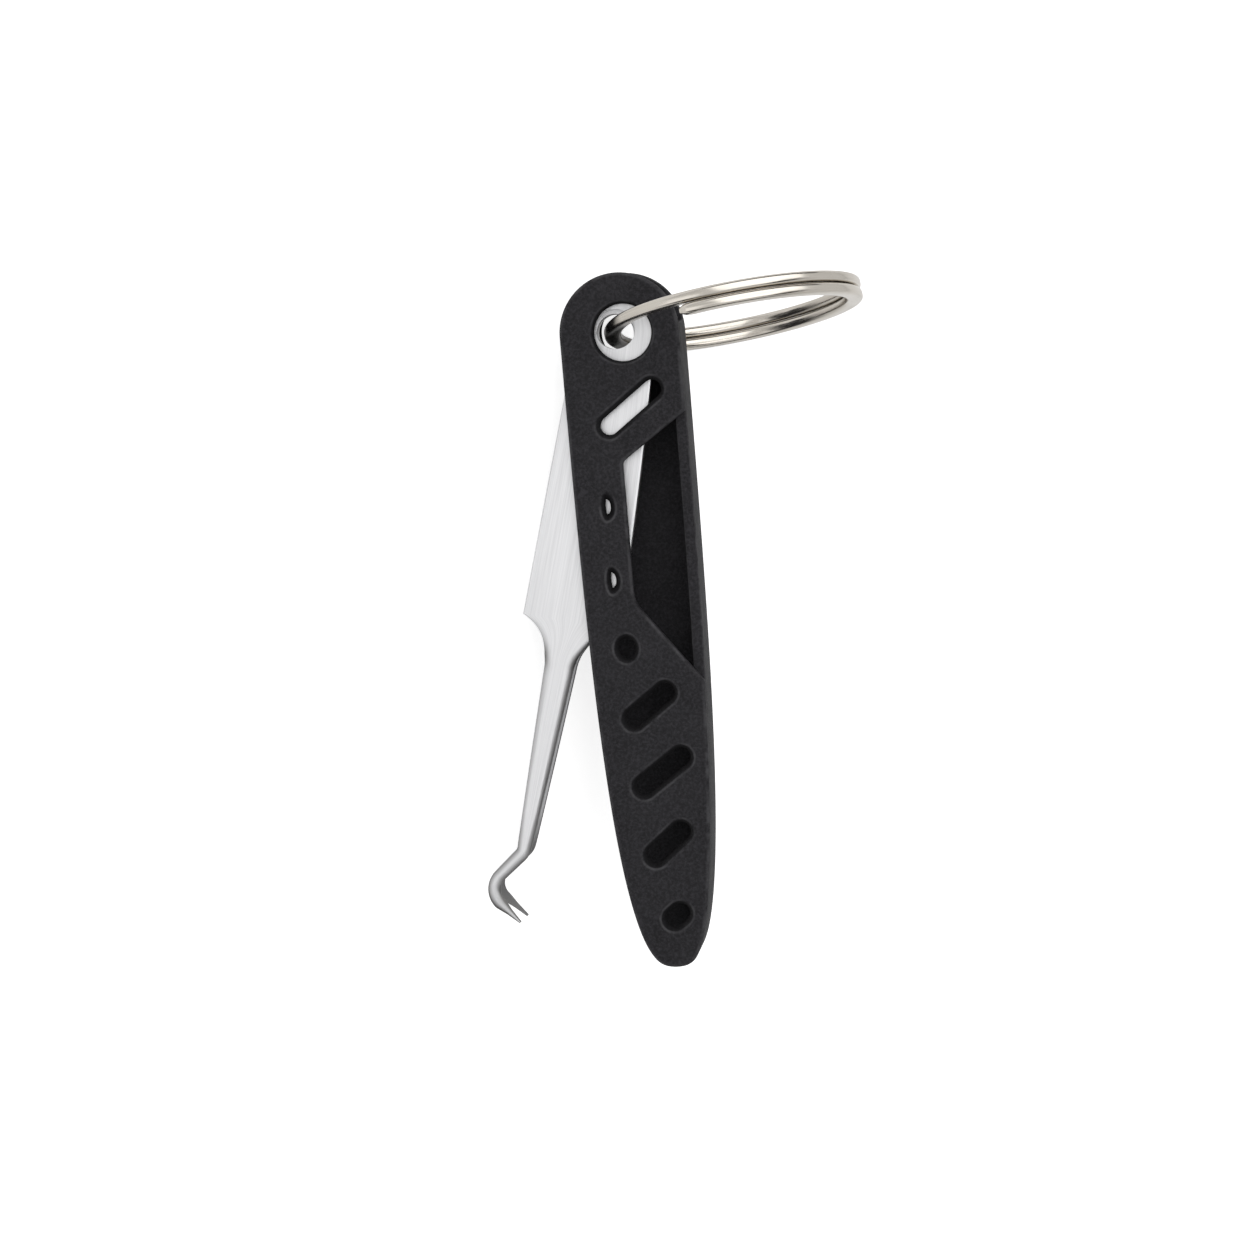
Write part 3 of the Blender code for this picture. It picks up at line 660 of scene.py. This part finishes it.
def blade_path(side):
    """Middle line of a blade with its half width and how far it is ground, at even steps from heel to point.

    The heel is a half circle. The grip widens evenly, the shoulder falls in a quadratic curve to the
    slim arm, and the arm bends out at the neck and back at the elbow, each by an arc. The grip's right
    side stands out further by a quadratic curve.
    """
    neck, elbow, point, root = (np.array(spot) for spot in (NECK, ELBOW, POINTS[side], ARM_ROOT))
    along = (neck - root) / np.linalg.norm(neck - root)
    out = (elbow - neck) / np.linalg.norm(elbow - neck)
    back = (point - elbow) / np.linalg.norm(point - elbow)

    shoulder = bezier_points(
        [(SHOULDER_START, SHOULDER_HALF), SHOULDER_CONTROL, (SHOULDER_END, ARM_HALF)], np.linspace(0, 1, 60)
    )
    grip = np.linspace(0.0, 1.0, 60)[:-1]
    wider = GRIP_MORE[side]
    more = bezier_points([(0.0, value) for value in wider], grip)[:, 1] / 2
    fade = wider[2] / 2 * (1 - np.linspace(0.0, 1.0, 60)) ** 2
    arm_s = np.linspace(SHOULDER_END, NECK[1] - NECK_BEND_RADIUS, 60)[1:]
    straight_s = np.concatenate([grip * SHOULDER_START, shoulder[:, 0], arm_s])
    arm_half = np.interp(arm_s, [SHOULDER_END, ARM_WAIST, NECK[1]], [ARM_HALF, ARM_WAIST_HALF, NECK_HALF])
    grip_half = HEEL_RADIUS + (SHOULDER_HALF - HEEL_RADIUS) * grip + more
    straight_half = np.concatenate([grip_half, shoulder[:, 1] + fade, arm_half])
    straight_w = np.interp(
        straight_s, [0.0, SHOULDER_START, ARM_ROOT[1], NECK[1]], [0.0, 0.0, ARM_ROOT[0], NECK[0]]
    )
    straight_w[: len(grip) + len(fade)] += np.concatenate([more, fade])
    neck_arc = bend_points(neck, along, out, NECK_BEND_RADIUS)
    elbow_arc = bend_points(elbow, out, back, ELBOW_BEND_RADIUS)
    prong = elbow_arc[-1] + PRONG_SHARE * (point - elbow_arc[-1])
    centre = np.vstack([np.column_stack([straight_w, straight_s]), neck_arc, elbow_arc, prong, point])
    elbow_half = np.full(len(elbow_arc), ELBOW_HALF[side])
    half = np.concatenate(
        [straight_half, np.full(len(neck_arc), NECK_HALF), elbow_half, [PRONG_HALF[side], POINT_HALF]]
    )
    ground = np.clip((centre[:, 1] - SHOULDER_START) / (SHOULDER_END - SHOULDER_START), 0.0, 1.0)
    hooked = np.clip((centre[:, 1] - NECK[1] + 3 * NECK_BEND_RADIUS) / (3 * NECK_BEND_RADIUS), 0.0, 1.0)

    walked = walked_along(centre)
    keep = np.concatenate([[True], np.diff(walked) > 1e-9])
    at = np.linspace(0.0, walked[-1], int(round(walked[-1] / BLADE_SPACING)))
    read = [np.interp(at, walked[keep], values[keep]) for values in (*centre.T, half, ground, hooked)]
    heel = np.radians(np.linspace(2.5, 90.0, 40))[:-1]
    still = np.zeros(len(heel))
    more = wider[0] / 2 * np.sin(heel)
    heel_rows = [more, -HEEL_RADIUS * np.cos(heel), HEEL_RADIUS * np.sin(heel) + more, still, still]
    w, s, half, ground, hooked = (np.concatenate(pair) for pair in zip(heel_rows, read))
    length = np.concatenate([heel_rows[1], at])
    return np.column_stack([w, s]), half, ground, hooked, length


def blade_heights(blades, s):
    """Inner and outer height of a blade: it springs outwards from the flex and thins past the neck."""
    end = POINTS[1][1]
    rise = (POINT_INNER - HEEL_INNER) / (end - FLEX_START)
    low = HEEL_INNER + rise * np.maximum(s - FLEX_START, 0.0)
    thinned = np.clip((s - NECK[1]) / (end - NECK[1]), 0.0, 1.0)
    return low, low + blades.thickness + (POINT_THICKNESS - blades.thickness) * thinned


def blade_rows(blades, side):
    """Sections of a blade: flat inside, upright flanks and a crowned outside, with how much painted shade and
    dark reflection each point takes.

    The crown is flat in the middle and falls by the square of the distance into the edge band. The
    band is a narrow broken edge round the grip, most of the width on the arm, and all of it on the hook.
    Towards the point the crown flattens out again.
    """
    centre, half, ground, hooked, length = blade_path(side)
    direction = np.gradient(centre, length, axis=0)
    turned = np.clip((length[:, None] - SHOULDER_END) / (4 * ARM_HALF), 0.0, 1.0)
    direction = np.array([[0.0, 1.0]]) * (1 - turned) + direction * turned
    direction /= np.linalg.norm(direction, axis=1, keepdims=True)
    across = np.column_stack([direction[:, 1], -direction[:, 0]])
    low, high = (values[:, None] for values in blade_heights(blades, centre[:, 1]))
    half, ground, hooked = half[:, None], ground[:, None], hooked[:, None]

    narrow = np.minimum(blades.edge / half, 0.5)
    share = narrow + ground * (0.55 - narrow) + hooked * ground * 0.4
    depth = blades.edge + ground * (blades.grind - blades.edge)
    tip = np.clip((length[:, None] - length[-1] + PRONG_LENGTH) / PRONG_FADE, 0.0, 1.0)
    depth = np.minimum(depth, (0.5 + 0.12 * hooked - 0.4 * tip) * (high - low))
    corner = np.minimum(0.06 * MM, 0.3 * half)

    crown = np.sin(np.linspace(math.pi / 2, -math.pi / 2, 33))[None]
    into = np.clip((np.abs(crown) - (1 - share)) / share, 0.0, 1.0)
    crown_x = crown * half
    crown_z = high - depth * into**2
    inner_x = np.linspace(-1.0, 1.0, 7)[None] * (half - corner)
    inner_z = np.broadcast_to(low, inner_x.shape)
    flank_low = low + corner
    flank_high = high - depth
    flank_z = np.hstack([flank_low, 0.5 * (flank_low + flank_high)])
    flank_x = np.hstack([half, half])
    x = np.hstack([inner_x, flank_x, crown_x, -flank_x])
    z = np.hstack([inner_z, flank_z, crown_z, flank_z[:, ::-1]])

    spot = centre[:, None, :] + across[:, None, :] * x[:, :, None]
    rows = np.stack([spot[:, :, 0], -spot[:, :, 1], side * z], axis=-1)
    # Painted shade and dark reflection: the crown's ground edges, the crescent in the concave shoulder, the
    # tip, the flanks and the hook's inner faces are darkened.
    bend = np.exp(-(((length[:, None] - SHOULDER_SHADE) / SHOULDER_SHADE_REACH) ** 2))
    crown_shade = into**1.5 * (0.45 * ground + 0.4 * hooked) + 0.6 * bend * into + (0.2 + 0.4 * into) * tip
    flank_shade = np.full_like(flank_x, 0.8)
    inner_shade = np.broadcast_to(0.15 + 0.7 * hooked, inner_x.shape)
    dark = np.clip(np.hstack([inner_shade, flank_shade, crown_shade, flank_shade]), 0.0, 1.0)
    return rows, length, dark


def cut_eye(piece, radius, shift, matrix):
    """Bore the eye for the ring through a blade with an upright round cutter, and keep the bored mesh."""
    angle = np.linspace(0.0, 2 * math.pi, EYE_SIDES, endpoint=False)
    ring = np.column_stack([radius * np.cos(angle), shift + radius * np.sin(angle)])
    levels = (-CUTTER_REACH, CUTTER_REACH)
    rows = np.stack([np.column_stack([ring, np.full(EYE_SIDES, level)]) for level in levels])
    faces = grid_quads(2, EYE_SIDES).tolist() + [list(range(EYE_SIDES))[::-1]]
    mesh = bpy.data.meshes.new("eye_cutter")
    mesh.from_pydata(put_down(rows.reshape(-1, 3), matrix).tolist(), [], faces)
    bm = bmesh.new()
    bm.from_mesh(mesh)
    bmesh.ops.contextual_create(bm, geom=[edge for edge in bm.edges if edge.is_boundary])
    bmesh.ops.recalc_face_normals(bm, faces=bm.faces)
    bm.to_mesh(mesh)
    bm.free()
    cutter = add_object("eye_cutter", mesh)
    bore = piece.modifiers.new("eye", "BOOLEAN")
    bore.operation = "DIFFERENCE"
    bore.solver = "EXACT"
    bore.object = cutter
    bpy.context.view_layer.update()
    bored = bpy.data.meshes.new_from_object(piece.evaluated_get(bpy.context.evaluated_depsgraph_get()))
    piece.modifiers.clear()
    piece.data = bored
    bpy.data.objects.remove(cutter, do_unlink=True)
    if len(bored.polygons) == 0:
        raise RuntimeError("the eye could not be bored in " + piece.name)


def make_blade(name, side, blades, finish):
    """One blade: stamped heel and grip, ground arm, hooked point, and the eye for the ring."""
    rows, length, dark = blade_rows(blades, side)
    middle = rows[len(rows) // 3]
    around = walked_along(np.vstack([middle, middle[:1]]))
    placed = put_down(rows.reshape(-1, 3), TWEEZERS_PLACE).reshape(rows.shape)
    mesh = swept_mesh(name, placed, length, around, {"dark": dark})
    piece = new_object(name, mesh, finish, 32)
    cut_eye(piece, EYE_RADIUS, EYE_SHIFT[side], TWEEZERS_PLACE)
    return piece


def make_heel_spacer(finish):
    """The filler between the heels, with the same eye as the blades."""
    half = HEEL_RADIUS - SPACER_MARGIN
    round_side = arc_points((0.0, 0.0), (half, half), 0.0, math.pi, 60)
    outline = even_loop(np.vstack([round_side, [(-half, -SPACER_END), (half, -SPACER_END)]]), OUTLINE_SPACING)
    eye = oval_loop((0.0, 0.0), (INNER_EYE_RADIUS, INNER_EYE_RADIUS))
    reach = HEEL_INNER - SPACER_CLEARANCE
    edge = rim_profile(-reach, reach, 0.1 * MM, 0.1 * MM)
    rims = [(carry_rim(loop, edge), edge[:, 2], 0 * edge[:, 3]) for loop in (outline, eye)]
    mesh = plate_mesh("heel_filler", rims, (-reach, reach), TWEEZERS_PLACE)
    return new_object("heel_filler", mesh, finish, 50)


# Split ring


def make_split_ring(ring, finish):
    """Flat wire wound almost twice round: a rounded section carried along a circle that steps up once.

    The height along the ring's axis is half the pitch times the sine of the progress through the
    crossing, so the wire lies flat on both turns and eases from one to the other in the hole.
    """
    first, last = RING_NEAR_END, 4 * math.pi - RING_FAR_END
    angle = np.linspace(first, last, int(round((last - first) / RING_STEP)))
    middle = ring.radius - ring.wire_radial / 2
    progress = np.clip((angle - 2 * math.pi) / RING_CROSSING, -1.0, 1.0)
    level = ring.pitch / 2 * np.sin(progress * math.pi / 2)
    outwards = np.column_stack([-np.cos(angle), np.zeros_like(angle), np.sin(angle)])
    shift = np.array([ring.radius - RING_REACH, -RING_DROP, 0.0])
    line = outwards * middle + np.column_stack([np.zeros_like(angle), level, np.zeros_like(angle)]) + shift

    turn = np.linspace(0.0, 2 * math.pi, 40, endpoint=False)
    radial = ring.wire_radial / 2 * np.sign(np.cos(turn)) * np.abs(np.cos(turn)) ** WIRE_ROUNDNESS
    axial = ring.wire_axial / 2 * np.sign(np.sin(turn)) * np.abs(np.sin(turn)) ** WIRE_ROUNDNESS
    size = np.ones(len(angle))
    size[:3] = WIRE_END_SIZES
    size[-3:] = WIRE_END_SIZES[::-1]
    rows = line[:, None, :] + outwards[:, None, :] * (size[:, None] * radial[None])[:, :, None]
    rows[:, :, 1] += size[:, None] * axial[None]
    section = np.column_stack([radial, axial])
    around = walked_along(np.vstack([section, section[:1]]))
    placed = put_down(rows.reshape(-1, 3), RING_PLACE).reshape(rows.shape)
    # Painted shade: the wire darkens where it passes through the hole.
    hole_shade = np.clip((RING_HOLE_SHADE[1] - np.abs(angle - 2 * math.pi)) / (RING_HOLE_SHADE[1] - RING_HOLE_SHADE[0]), 0.0, 1.0)
    mesh = swept_mesh("key_ring", placed, angle * middle, around, {"hole_shade": hole_shade[:, None]})
    return new_object("key_ring", mesh, finish, 60)


# Finishes


def add_node(tree, kind, inputs=None, **settings):
    """A node with its settings, whose inputs take either a socket to link or a plain value."""
    node = tree.nodes.new(kind)
    for label, value in settings.items():
        setattr(node, label, value)
    for label, value in (inputs or {}).items():
        if isinstance(value, bpy.types.NodeSocket):
            tree.links.new(value, node.inputs[label])
        else:
            node.inputs[label].default_value = value
    return node


def ramp_value(tree, value, low, high, start=0.0, end=1.0):
    """A value stretched so that low becomes the start and high becomes the end, held in that range."""
    inputs = {"Value": value, "From Min": low, "From Max": high, "To Min": start, "To Max": end}
    return add_node(tree, "ShaderNodeMapRange", inputs, clamp=True).outputs["Result"]


def math_value(tree, operation, *values, clamp=False):
    """The result of a sum or a product of sockets and plain values."""
    inputs = dict(enumerate(values))
    return add_node(tree, "ShaderNodeMath", inputs, operation=operation, use_clamp=clamp).outputs[0]


def noise_value(tree, place, scale, detail, roughness=0.5):
    """Noise at a place."""
    inputs = {"Vector": place, "Scale": scale, "Detail": detail, "Roughness": roughness}
    return add_node(tree, "ShaderNodeTexNoise", inputs).outputs["Fac"]


def brush_noise(tree, stretch, detail):
    """Noise drawn out along a blade or a wire, by its own texture place."""
    along = add_node(tree, "ShaderNodeUVMap", uv_map="along").outputs["UV"]
    place = add_node(tree, "ShaderNodeMapping", {"Vector": along, "Scale": (*stretch, 1.0)}).outputs["Vector"]
    return noise_value(tree, place, 1.0, detail)


def point_value(tree, name):
    """A value kept at the points of the mesh."""
    return add_node(tree, "ShaderNodeAttribute", attribute_name=name).outputs["Fac"]


def mix_colours(tree, amount, first, second):
    """Two colours blended by an amount."""
    node = add_node(tree, "ShaderNodeMix", data_type="RGBA")
    for socket, value in (("Factor_Float", amount), ("A_Color", first), ("B_Color", second)):
        target = next(item for item in node.inputs if item.identifier == socket)
        if isinstance(value, bpy.types.NodeSocket):
            tree.links.new(value, target)
        else:
            target.default_value = (*value, 1.0)
    return next(item for item in node.outputs if item.identifier == "Result_Color")


def new_mask_group(name, inputs):
    """An empty shader group with named inputs and a mask: its tree, its inputs and the mask's socket."""
    tree = bpy.data.node_groups.new(name, "ShaderNodeTree")
    tree.interface.new_socket(name="Vector", in_out="INPUT", socket_type="NodeSocketVector")
    for label, value in inputs.items():
        socket = tree.interface.new_socket(name=label, in_out="INPUT", socket_type="NodeSocketFloat")
        socket.default_value = value
    tree.interface.new_socket(name="Mask", in_out="OUTPUT", socket_type="NodeSocketFloat")
    given = tree.nodes.new("NodeGroupInput").outputs
    return tree, given, tree.nodes.new("NodeGroupOutput").inputs["Mask"]


def smudge_group(name):
    """Soft blotches of handling and uneven finish, as a value from 0 to 1."""
    tree, given, mask = new_mask_group(name, {"Scale": 200.0})
    noise = noise_value(tree, given["Vector"], given["Scale"], 4.0, 0.6)
    tree.links.new(ramp_value(tree, noise, 0.32, 0.68), mask)


def rub_and_sheen_group(name):
    """Pale edges, partly worn and partly a painted highlight along the lips: the edge value broken up by
    noise.
    """
    tree, given, mask = new_mask_group(name, {"Edge": 0.0, "Scale": 900.0, "Amount": 1.0})
    noise = noise_value(tree, given["Vector"], given["Scale"], 3.0)
    edge = math_value(tree, "MULTIPLY", given["Edge"], ramp_value(tree, noise, 0.3, 0.62))
    tree.links.new(math_value(tree, "MULTIPLY", edge, given["Amount"], clamp=True), mask)


SHARED_GROUPS = {"soft_smudges": smudge_group, "rubbed_and_sheen_edges": rub_and_sheen_group}


def shared_mask(tree, name, **inputs):
    """The mask of a shared group placed in a finish; the group is built the first time it is asked for."""
    if name not in bpy.data.node_groups:
        SHARED_GROUPS[name](name)
    return add_node(tree, "ShaderNodeGroup", inputs, node_tree=bpy.data.node_groups[name]).outputs["Mask"]


def new_finish(name):
    """A material with its tree and its shader."""
    finish = bpy.data.materials.new(name)
    finish.use_nodes = True
    return finish, finish.node_tree, finish.node_tree.nodes["Principled BSDF"]


def link_finish(tree, shader, colour, rough, height, strength, depth):
    """Colour, roughness and a bump, linked to the shader."""
    bump = add_node(tree, "ShaderNodeBump", {"Height": height, "Strength": strength, "Distance": depth})
    for label, socket in (("Base Color", colour), ("Roughness", rough), ("Normal", bump.outputs["Normal"])):
        tree.links.new(socket, shader.inputs[label])


def dress_plastic(tree, shader, sheath):
    """Matte black moulding: fine spark-eroded grain, pale specks, soft smudges, pale edges that are partly
    worn and partly a painted highlight, and painted shade inside.
    """
    place = tree.nodes.new("ShaderNodeTexCoord").outputs["Object"]
    grain = noise_value(tree, place, 3600.0, 3.0, 0.75)
    coarse = noise_value(tree, place, 1300.0, 3.0)
    smudge = shared_mask(tree, "soft_smudges", Vector=place, Scale=260.0)
    edge = point_value(tree, "rub_and_sheen")
    rub_and_sheen = shared_mask(tree, "rubbed_and_sheen_edges", Vector=place, Edge=edge, Scale=700.0, Amount=0.5)
    inside = point_value(tree, "inside")
    base = np.array(sheath.colour)
    colour = mix_colours(tree, smudge, base, 1.3 * base)
    colour = mix_colours(tree, ramp_value(tree, grain, 0.42, 0.66), colour, 3.2 * base)
    colour = mix_colours(tree, ramp_value(tree, coarse, 0.62, 0.74), colour, 3.0 * base)
    # Pale edges: partly worn, partly a painted highlight along the lips.
    colour = mix_colours(tree, rub_and_sheen, colour, sheath.rubbed_and_sheen)
    # Painted shade: the cavity, the walls and the bores darken towards the inside colour.
    colour = mix_colours(tree, inside, colour, sheath.inner)
    rough = math_value(tree, "MULTIPLY_ADD", inside, 0.3, ramp_value(tree, smudge, 0.0, 1.0, 0.7, 0.6))
    link_finish(tree, shader, colour, rough, math_value(tree, "ADD", grain, coarse), 0.6, 0.08 * MM)
    shader.inputs["Specular IOR Level"].default_value = 0.2


def dress_steel(tree, shader, blades):
    """Satin steel brushed along the blade, with painted shade and dark reflection on its ground edges, flanks
    and inner faces.
    """
    place = tree.nodes.new("ShaderNodeTexCoord").outputs["Object"]
    lines = ramp_value(tree, brush_noise(tree, (0.12, 7.0), 4.0), 0.35, 0.75)
    bands = ramp_value(tree, brush_noise(tree, (0.06, 1.6), 3.0), 0.3, 0.75)
    drawn = math_value(tree, "MULTIPLY_ADD", bands, 0.35, math_value(tree, "MULTIPLY", lines, 0.45))
    smudge = shared_mask(tree, "soft_smudges", Vector=place, Scale=180.0)
    colour = mix_colours(tree, drawn, blades.colour, blades.shade)
    # Painted shade and dark reflection on the blade's flanks, ground edges and inner faces.
    colour = mix_colours(tree, point_value(tree, "dark"), colour, blades.dark)
    link_finish(tree, shader, colour, ramp_value(tree, smudge, 0.0, 1.0, 0.4, 0.48), lines, 0.25, 0.01 * MM)
    shader.inputs["Metallic"].default_value = 1.0


def dress_nickel(tree, shader, ring):
    """Bright nickel plate with faint drawing lines along the wire, dull patches, and painted shade where the
    wire lies in the hole.
    """
    place = tree.nodes.new("ShaderNodeTexCoord").outputs["Object"]
    lines = ramp_value(tree, brush_noise(tree, (0.08, 5.0), 3.0), 0.4, 0.7)
    smudge = shared_mask(tree, "soft_smudges", Vector=place, Scale=240.0)
    colour = mix_colours(tree, math_value(tree, "MULTIPLY", smudge, lines), ring.colour, ring.dulled)
    # Painted shade on the wire in the hole.
    colour = mix_colours(tree, point_value(tree, "hole_shade"), colour, ring.hole_shade)
    link_finish(tree, shader, colour, ramp_value(tree, smudge, 0.0, 1.0, 0.15, 0.25), lines, 0.12, 0.01 * MM)
    shader.inputs["Metallic"].default_value = 1.0


FINISHES = {"matte_black_plastic": dress_plastic, "satin_steel": dress_steel, "bright_nickel": dress_nickel}


def shared_finish(name, settings):
    """A finish of the pieces, dressed the first time it is asked for."""
    if name not in bpy.data.materials:
        _, tree, shader = new_finish(name)
        FINISHES[name](tree, shader, settings)
    return bpy.data.materials[name]


# Stage


def seen_share(tree, mirrored):
    """1 for what is seen straight or through glass, a share for what metal mirrors, 0 for plain light."""
    light = tree.nodes.new("ShaderNodeLightPath").outputs
    seen = math_value(tree, "ADD", light["Is Camera Ray"], light["Is Transmission Ray"])
    return math_value(tree, "MULTIPLY_ADD", light["Is Glossy Ray"], mirrored, seen, clamp=True)


def floor_finish(stage):
    """Pale floor that is lifted to white where it is seen directly or in a reflection."""
    finish, tree, shader = new_finish("studio_floor")
    shader.inputs["Base Color"].default_value = (*stage.floor, 1.0)
    shader.inputs["Roughness"].default_value = 0.9
    shader.inputs["Specular IOR Level"].default_value = 0.0
    shader.inputs["Emission Color"].default_value = (1.0, 1.0, 1.0, 1.0)
    lift = math_value(tree, "MULTIPLY", seen_share(tree, FLOOR_MIRRORED), stage.lift)
    tree.links.new(lift, shader.inputs["Emission Strength"])
    return finish


def make_surround(stage):
    """White surround that lights the object softly and is brighter where it is seen or mirrored."""
    world = bpy.data.worlds.new("surround")
    bpy.context.scene.world = world
    world.use_nodes = True
    tree = world.node_tree
    background = tree.nodes["Background"]
    background.inputs["Color"].default_value = (1.0, 1.0, 1.0, 1.0)
    mirrored = (stage.mirrored - stage.world) / (1 - stage.world)
    strength = ramp_value(tree, seen_share(tree, mirrored), 0.0, 1.0, stage.world, 1.0)
    tree.links.new(strength, background.inputs["Strength"])


def flat_sheet(name, corners, finish):
    """One flat face with four corners."""
    mesh = bpy.data.meshes.new(name)
    mesh.from_pydata(corners, [], [(0, 1, 2, 3)])
    mesh.materials.append(finish)
    return add_object(name, mesh)


def make_card(name, direction, width, height, colour):
    """A dark card that only the metal mirrors: a flat sheet across a direction from the object."""
    finish, _, shader = new_finish(name)
    shader.inputs["Base Color"].default_value = (*colour, 1.0)
    shader.inputs["Specular IOR Level"].default_value = 0.0
    middle = SHEATH_PLACE @ Vector(CAMERA_TARGET) + direction * CARD_DISTANCE
    right = direction.cross(Vector((0, 0, 1))).normalized()
    up = right.cross(direction)
    card = flat_sheet(name, [middle + right * width * i / 2 + up * height * j / 2 for i, j in SQUARE], finish)
    card.visible_camera = False
    card.visible_diffuse = False
    card.visible_shadow = False


def make_floor(stage):
    """A wide flat floor under the object."""
    corners = [(i * FLOOR_REACH, j * FLOOR_REACH, 0) for i, j in SQUARE]
    floor = flat_sheet("floor", corners, floor_finish(stage))


def add_lamp(name, direction, distance, size, power):
    """A square soft lamp that faces the middle of the object, from a direction in the sheath's own terms."""
    lamp = bpy.data.lights.new(name, "AREA")
    lamp.shape = "SQUARE"
    lamp.size = size
    lamp.energy = power
    holder = add_object(name, lamp)
    away = (SHEATH_PLACE.to_3x3() @ Vector(direction)).normalized()
    holder.location = SHEATH_PLACE @ Vector(CAMERA_TARGET) + away * distance
    holder.rotation_euler = away.to_track_quat("Z", "Y").to_euler()


def add_camera():
    """Camera at the photographed angle: back and up directions are turned into the sheath's frame."""
    azimuth, elevation, roll = CAMERA_AZIMUTH, CAMERA_ELEVATION, CAMERA_ROLL
    level = math.cos(elevation)
    back = Vector((math.sin(azimuth) * level, math.sin(elevation), math.cos(azimuth) * level))
    right = Vector((0, 1, 0)).cross(back).normalized()
    up = back.cross(right)
    turned_up = up * math.cos(roll) + right * math.sin(roll)
    turned_right = right * math.cos(roll) - up * math.sin(roll)
    turn = Matrix((turned_right, turned_up, back)).transposed().to_4x4()
    data = bpy.data.cameras.new("camera")
    data.sensor_width = CAMERA_SENSOR
    data.lens = CAMERA_SENSOR * CAMERA_DISTANCE / CAMERA_FRAME_WIDTH
    data.clip_start = CAMERA_CLIP_START
    camera = add_object("camera", data)
    stand = Matrix.Translation(Vector(CAMERA_TARGET) + back * CAMERA_DISTANCE)
    camera.matrix_world = SHEATH_PLACE @ stand @ turn
    bpy.context.scene.camera = camera


# Operators and panel


def stand_for(node):
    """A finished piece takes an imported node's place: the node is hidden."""
    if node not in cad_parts:
        raise RuntimeError("the packed model has no node named " + node)
    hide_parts(node)


class TWEEZERS_OT_sheath(bpy.types.Operator):
    """Make the sheath's slotted face and its back"""

    bl_idname = "tweezers.sheath"
    bl_label = "Sheath"

    def execute(self, context):
        sheath = context.scene.tweezers_sheath
        finish = shared_finish("matte_black_plastic", sheath)
        for make, node in ((make_front_plate, "front_plate"), (make_rear_shell, "rear_shell")):
            piece = make(sheath, finish)
            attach(piece, "sheath")
            stand_for(node)
        return {"FINISHED"}


class TWEEZERS_OT_blades(bpy.types.Operator):
    """Make the two hooked blades, which bend near the heel"""

    bl_idname = "tweezers.blades"
    bl_label = "Blades"

    def execute(self, context):
        blades = context.scene.tweezers_blades
        finish = shared_finish("satin_steel", blades)
        for name, side, node, body in (
            ("upper_blade", 1, "front_blade", "front_arm"),
            ("lower_blade", -1, "rear_blade", "rear_arm"),
        ):
            piece = make_blade(name, side, blades, finish)
            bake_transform(piece)
            stand_for(node)
        return {"FINISHED"}


class TWEEZERS_OT_heel_filler(bpy.types.Operator):
    """Make the filler between the blades' heels"""

    bl_idname = "tweezers.heel_filler"
    bl_label = "Heel filler"

    def execute(self, context):
        piece = make_heel_spacer(shared_finish("satin_steel", context.scene.tweezers_blades))
        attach(piece, "tweezers")
        stand_for("heel_spacer")
        return {"FINISHED"}


class TWEEZERS_OT_split_ring(bpy.types.Operator):
    """Make the split key ring"""

    bl_idname = "tweezers.split_ring"
    bl_label = "Split ring"

    def execute(self, context):
        ring = context.scene.tweezers_ring
        piece = make_split_ring(ring, shared_finish("bright_nickel", ring))
        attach(piece, "ring")
        stand_for("split_ring")
        return {"FINISHED"}


class TWEEZERS_OT_stage(bpy.types.Operator):
    """Set the floor, the lamps, the surround and the camera"""

    bl_idname = "tweezers.stage"
    bl_label = "Stage"

    def execute(self, context):
        stage = context.scene.tweezers_stage
        make_floor(stage)
        for name, direction, width, height in DARK_CARDS:
            make_card(name, Vector(direction).normalized(), width, height, stage.card)
        add_lamp("key_lamp", *KEY_LAMP, stage.key)
        add_lamp("fill_lamp", *FILL_LAMP, stage.fill)
        make_surround(stage)
        context.scene.view_settings.view_transform = "Standard"
        add_camera()
        return {"FINISHED"}


class VIEW3D_PT_tweezers(bpy.types.Panel):
    """Buttons and sizes in the 3D view's sidebar"""

    bl_label = "Pocket tweezers"
    bl_space_type = "VIEW_3D"
    bl_region_type = "UI"
    bl_category = "Tweezers"

    def draw(self, context):
        for operator in OPERATORS:
            self.layout.operator(operator.bl_idname)
        for label, settings in SETTINGS.items():
            box = self.layout.box()
            group = getattr(context.scene, label)
            for field in settings.__annotations__:
                box.prop(group, field)


OPERATORS = (
    TWEEZERS_OT_sheath,
    TWEEZERS_OT_blades,
    TWEEZERS_OT_heel_filler,
    TWEEZERS_OT_split_ring,
    TWEEZERS_OT_stage,
)
SETTINGS = {
    "tweezers_sheath": SheathSettings,
    "tweezers_blades": BladeSettings,
    "tweezers_ring": RingSettings,
    "tweezers_stage": StageSettings,
}


def register():
    """Register the settings, the operators and the panel."""
    for label, settings in SETTINGS.items():
        bpy.utils.register_class(settings)
        setattr(bpy.types.Scene, label, PointerProperty(type=settings))
    for operator in OPERATORS:
        bpy.utils.register_class(operator)
    bpy.utils.register_class(VIEW3D_PT_tweezers)


def unregister():
    """Undo what register did, in the opposite order."""
    bpy.utils.unregister_class(VIEW3D_PT_tweezers)
    for operator in reversed(OPERATORS):
        bpy.utils.unregister_class(operator)
    for label, settings in reversed(SETTINGS.items()):
        delattr(bpy.types.Scene, label)
        bpy.utils.unregister_class(settings)


def main():
    """Build every piece and the stage."""
    register()
    bpy.ops.tweezers.sheath()
    bpy.ops.tweezers.blades()
    bpy.ops.tweezers.heel_filler()
    bpy.ops.tweezers.split_ring()
    bpy.ops.tweezers.stage()
    bpy.context.view_layer.update()


if __name__ == "__main__":
    main()
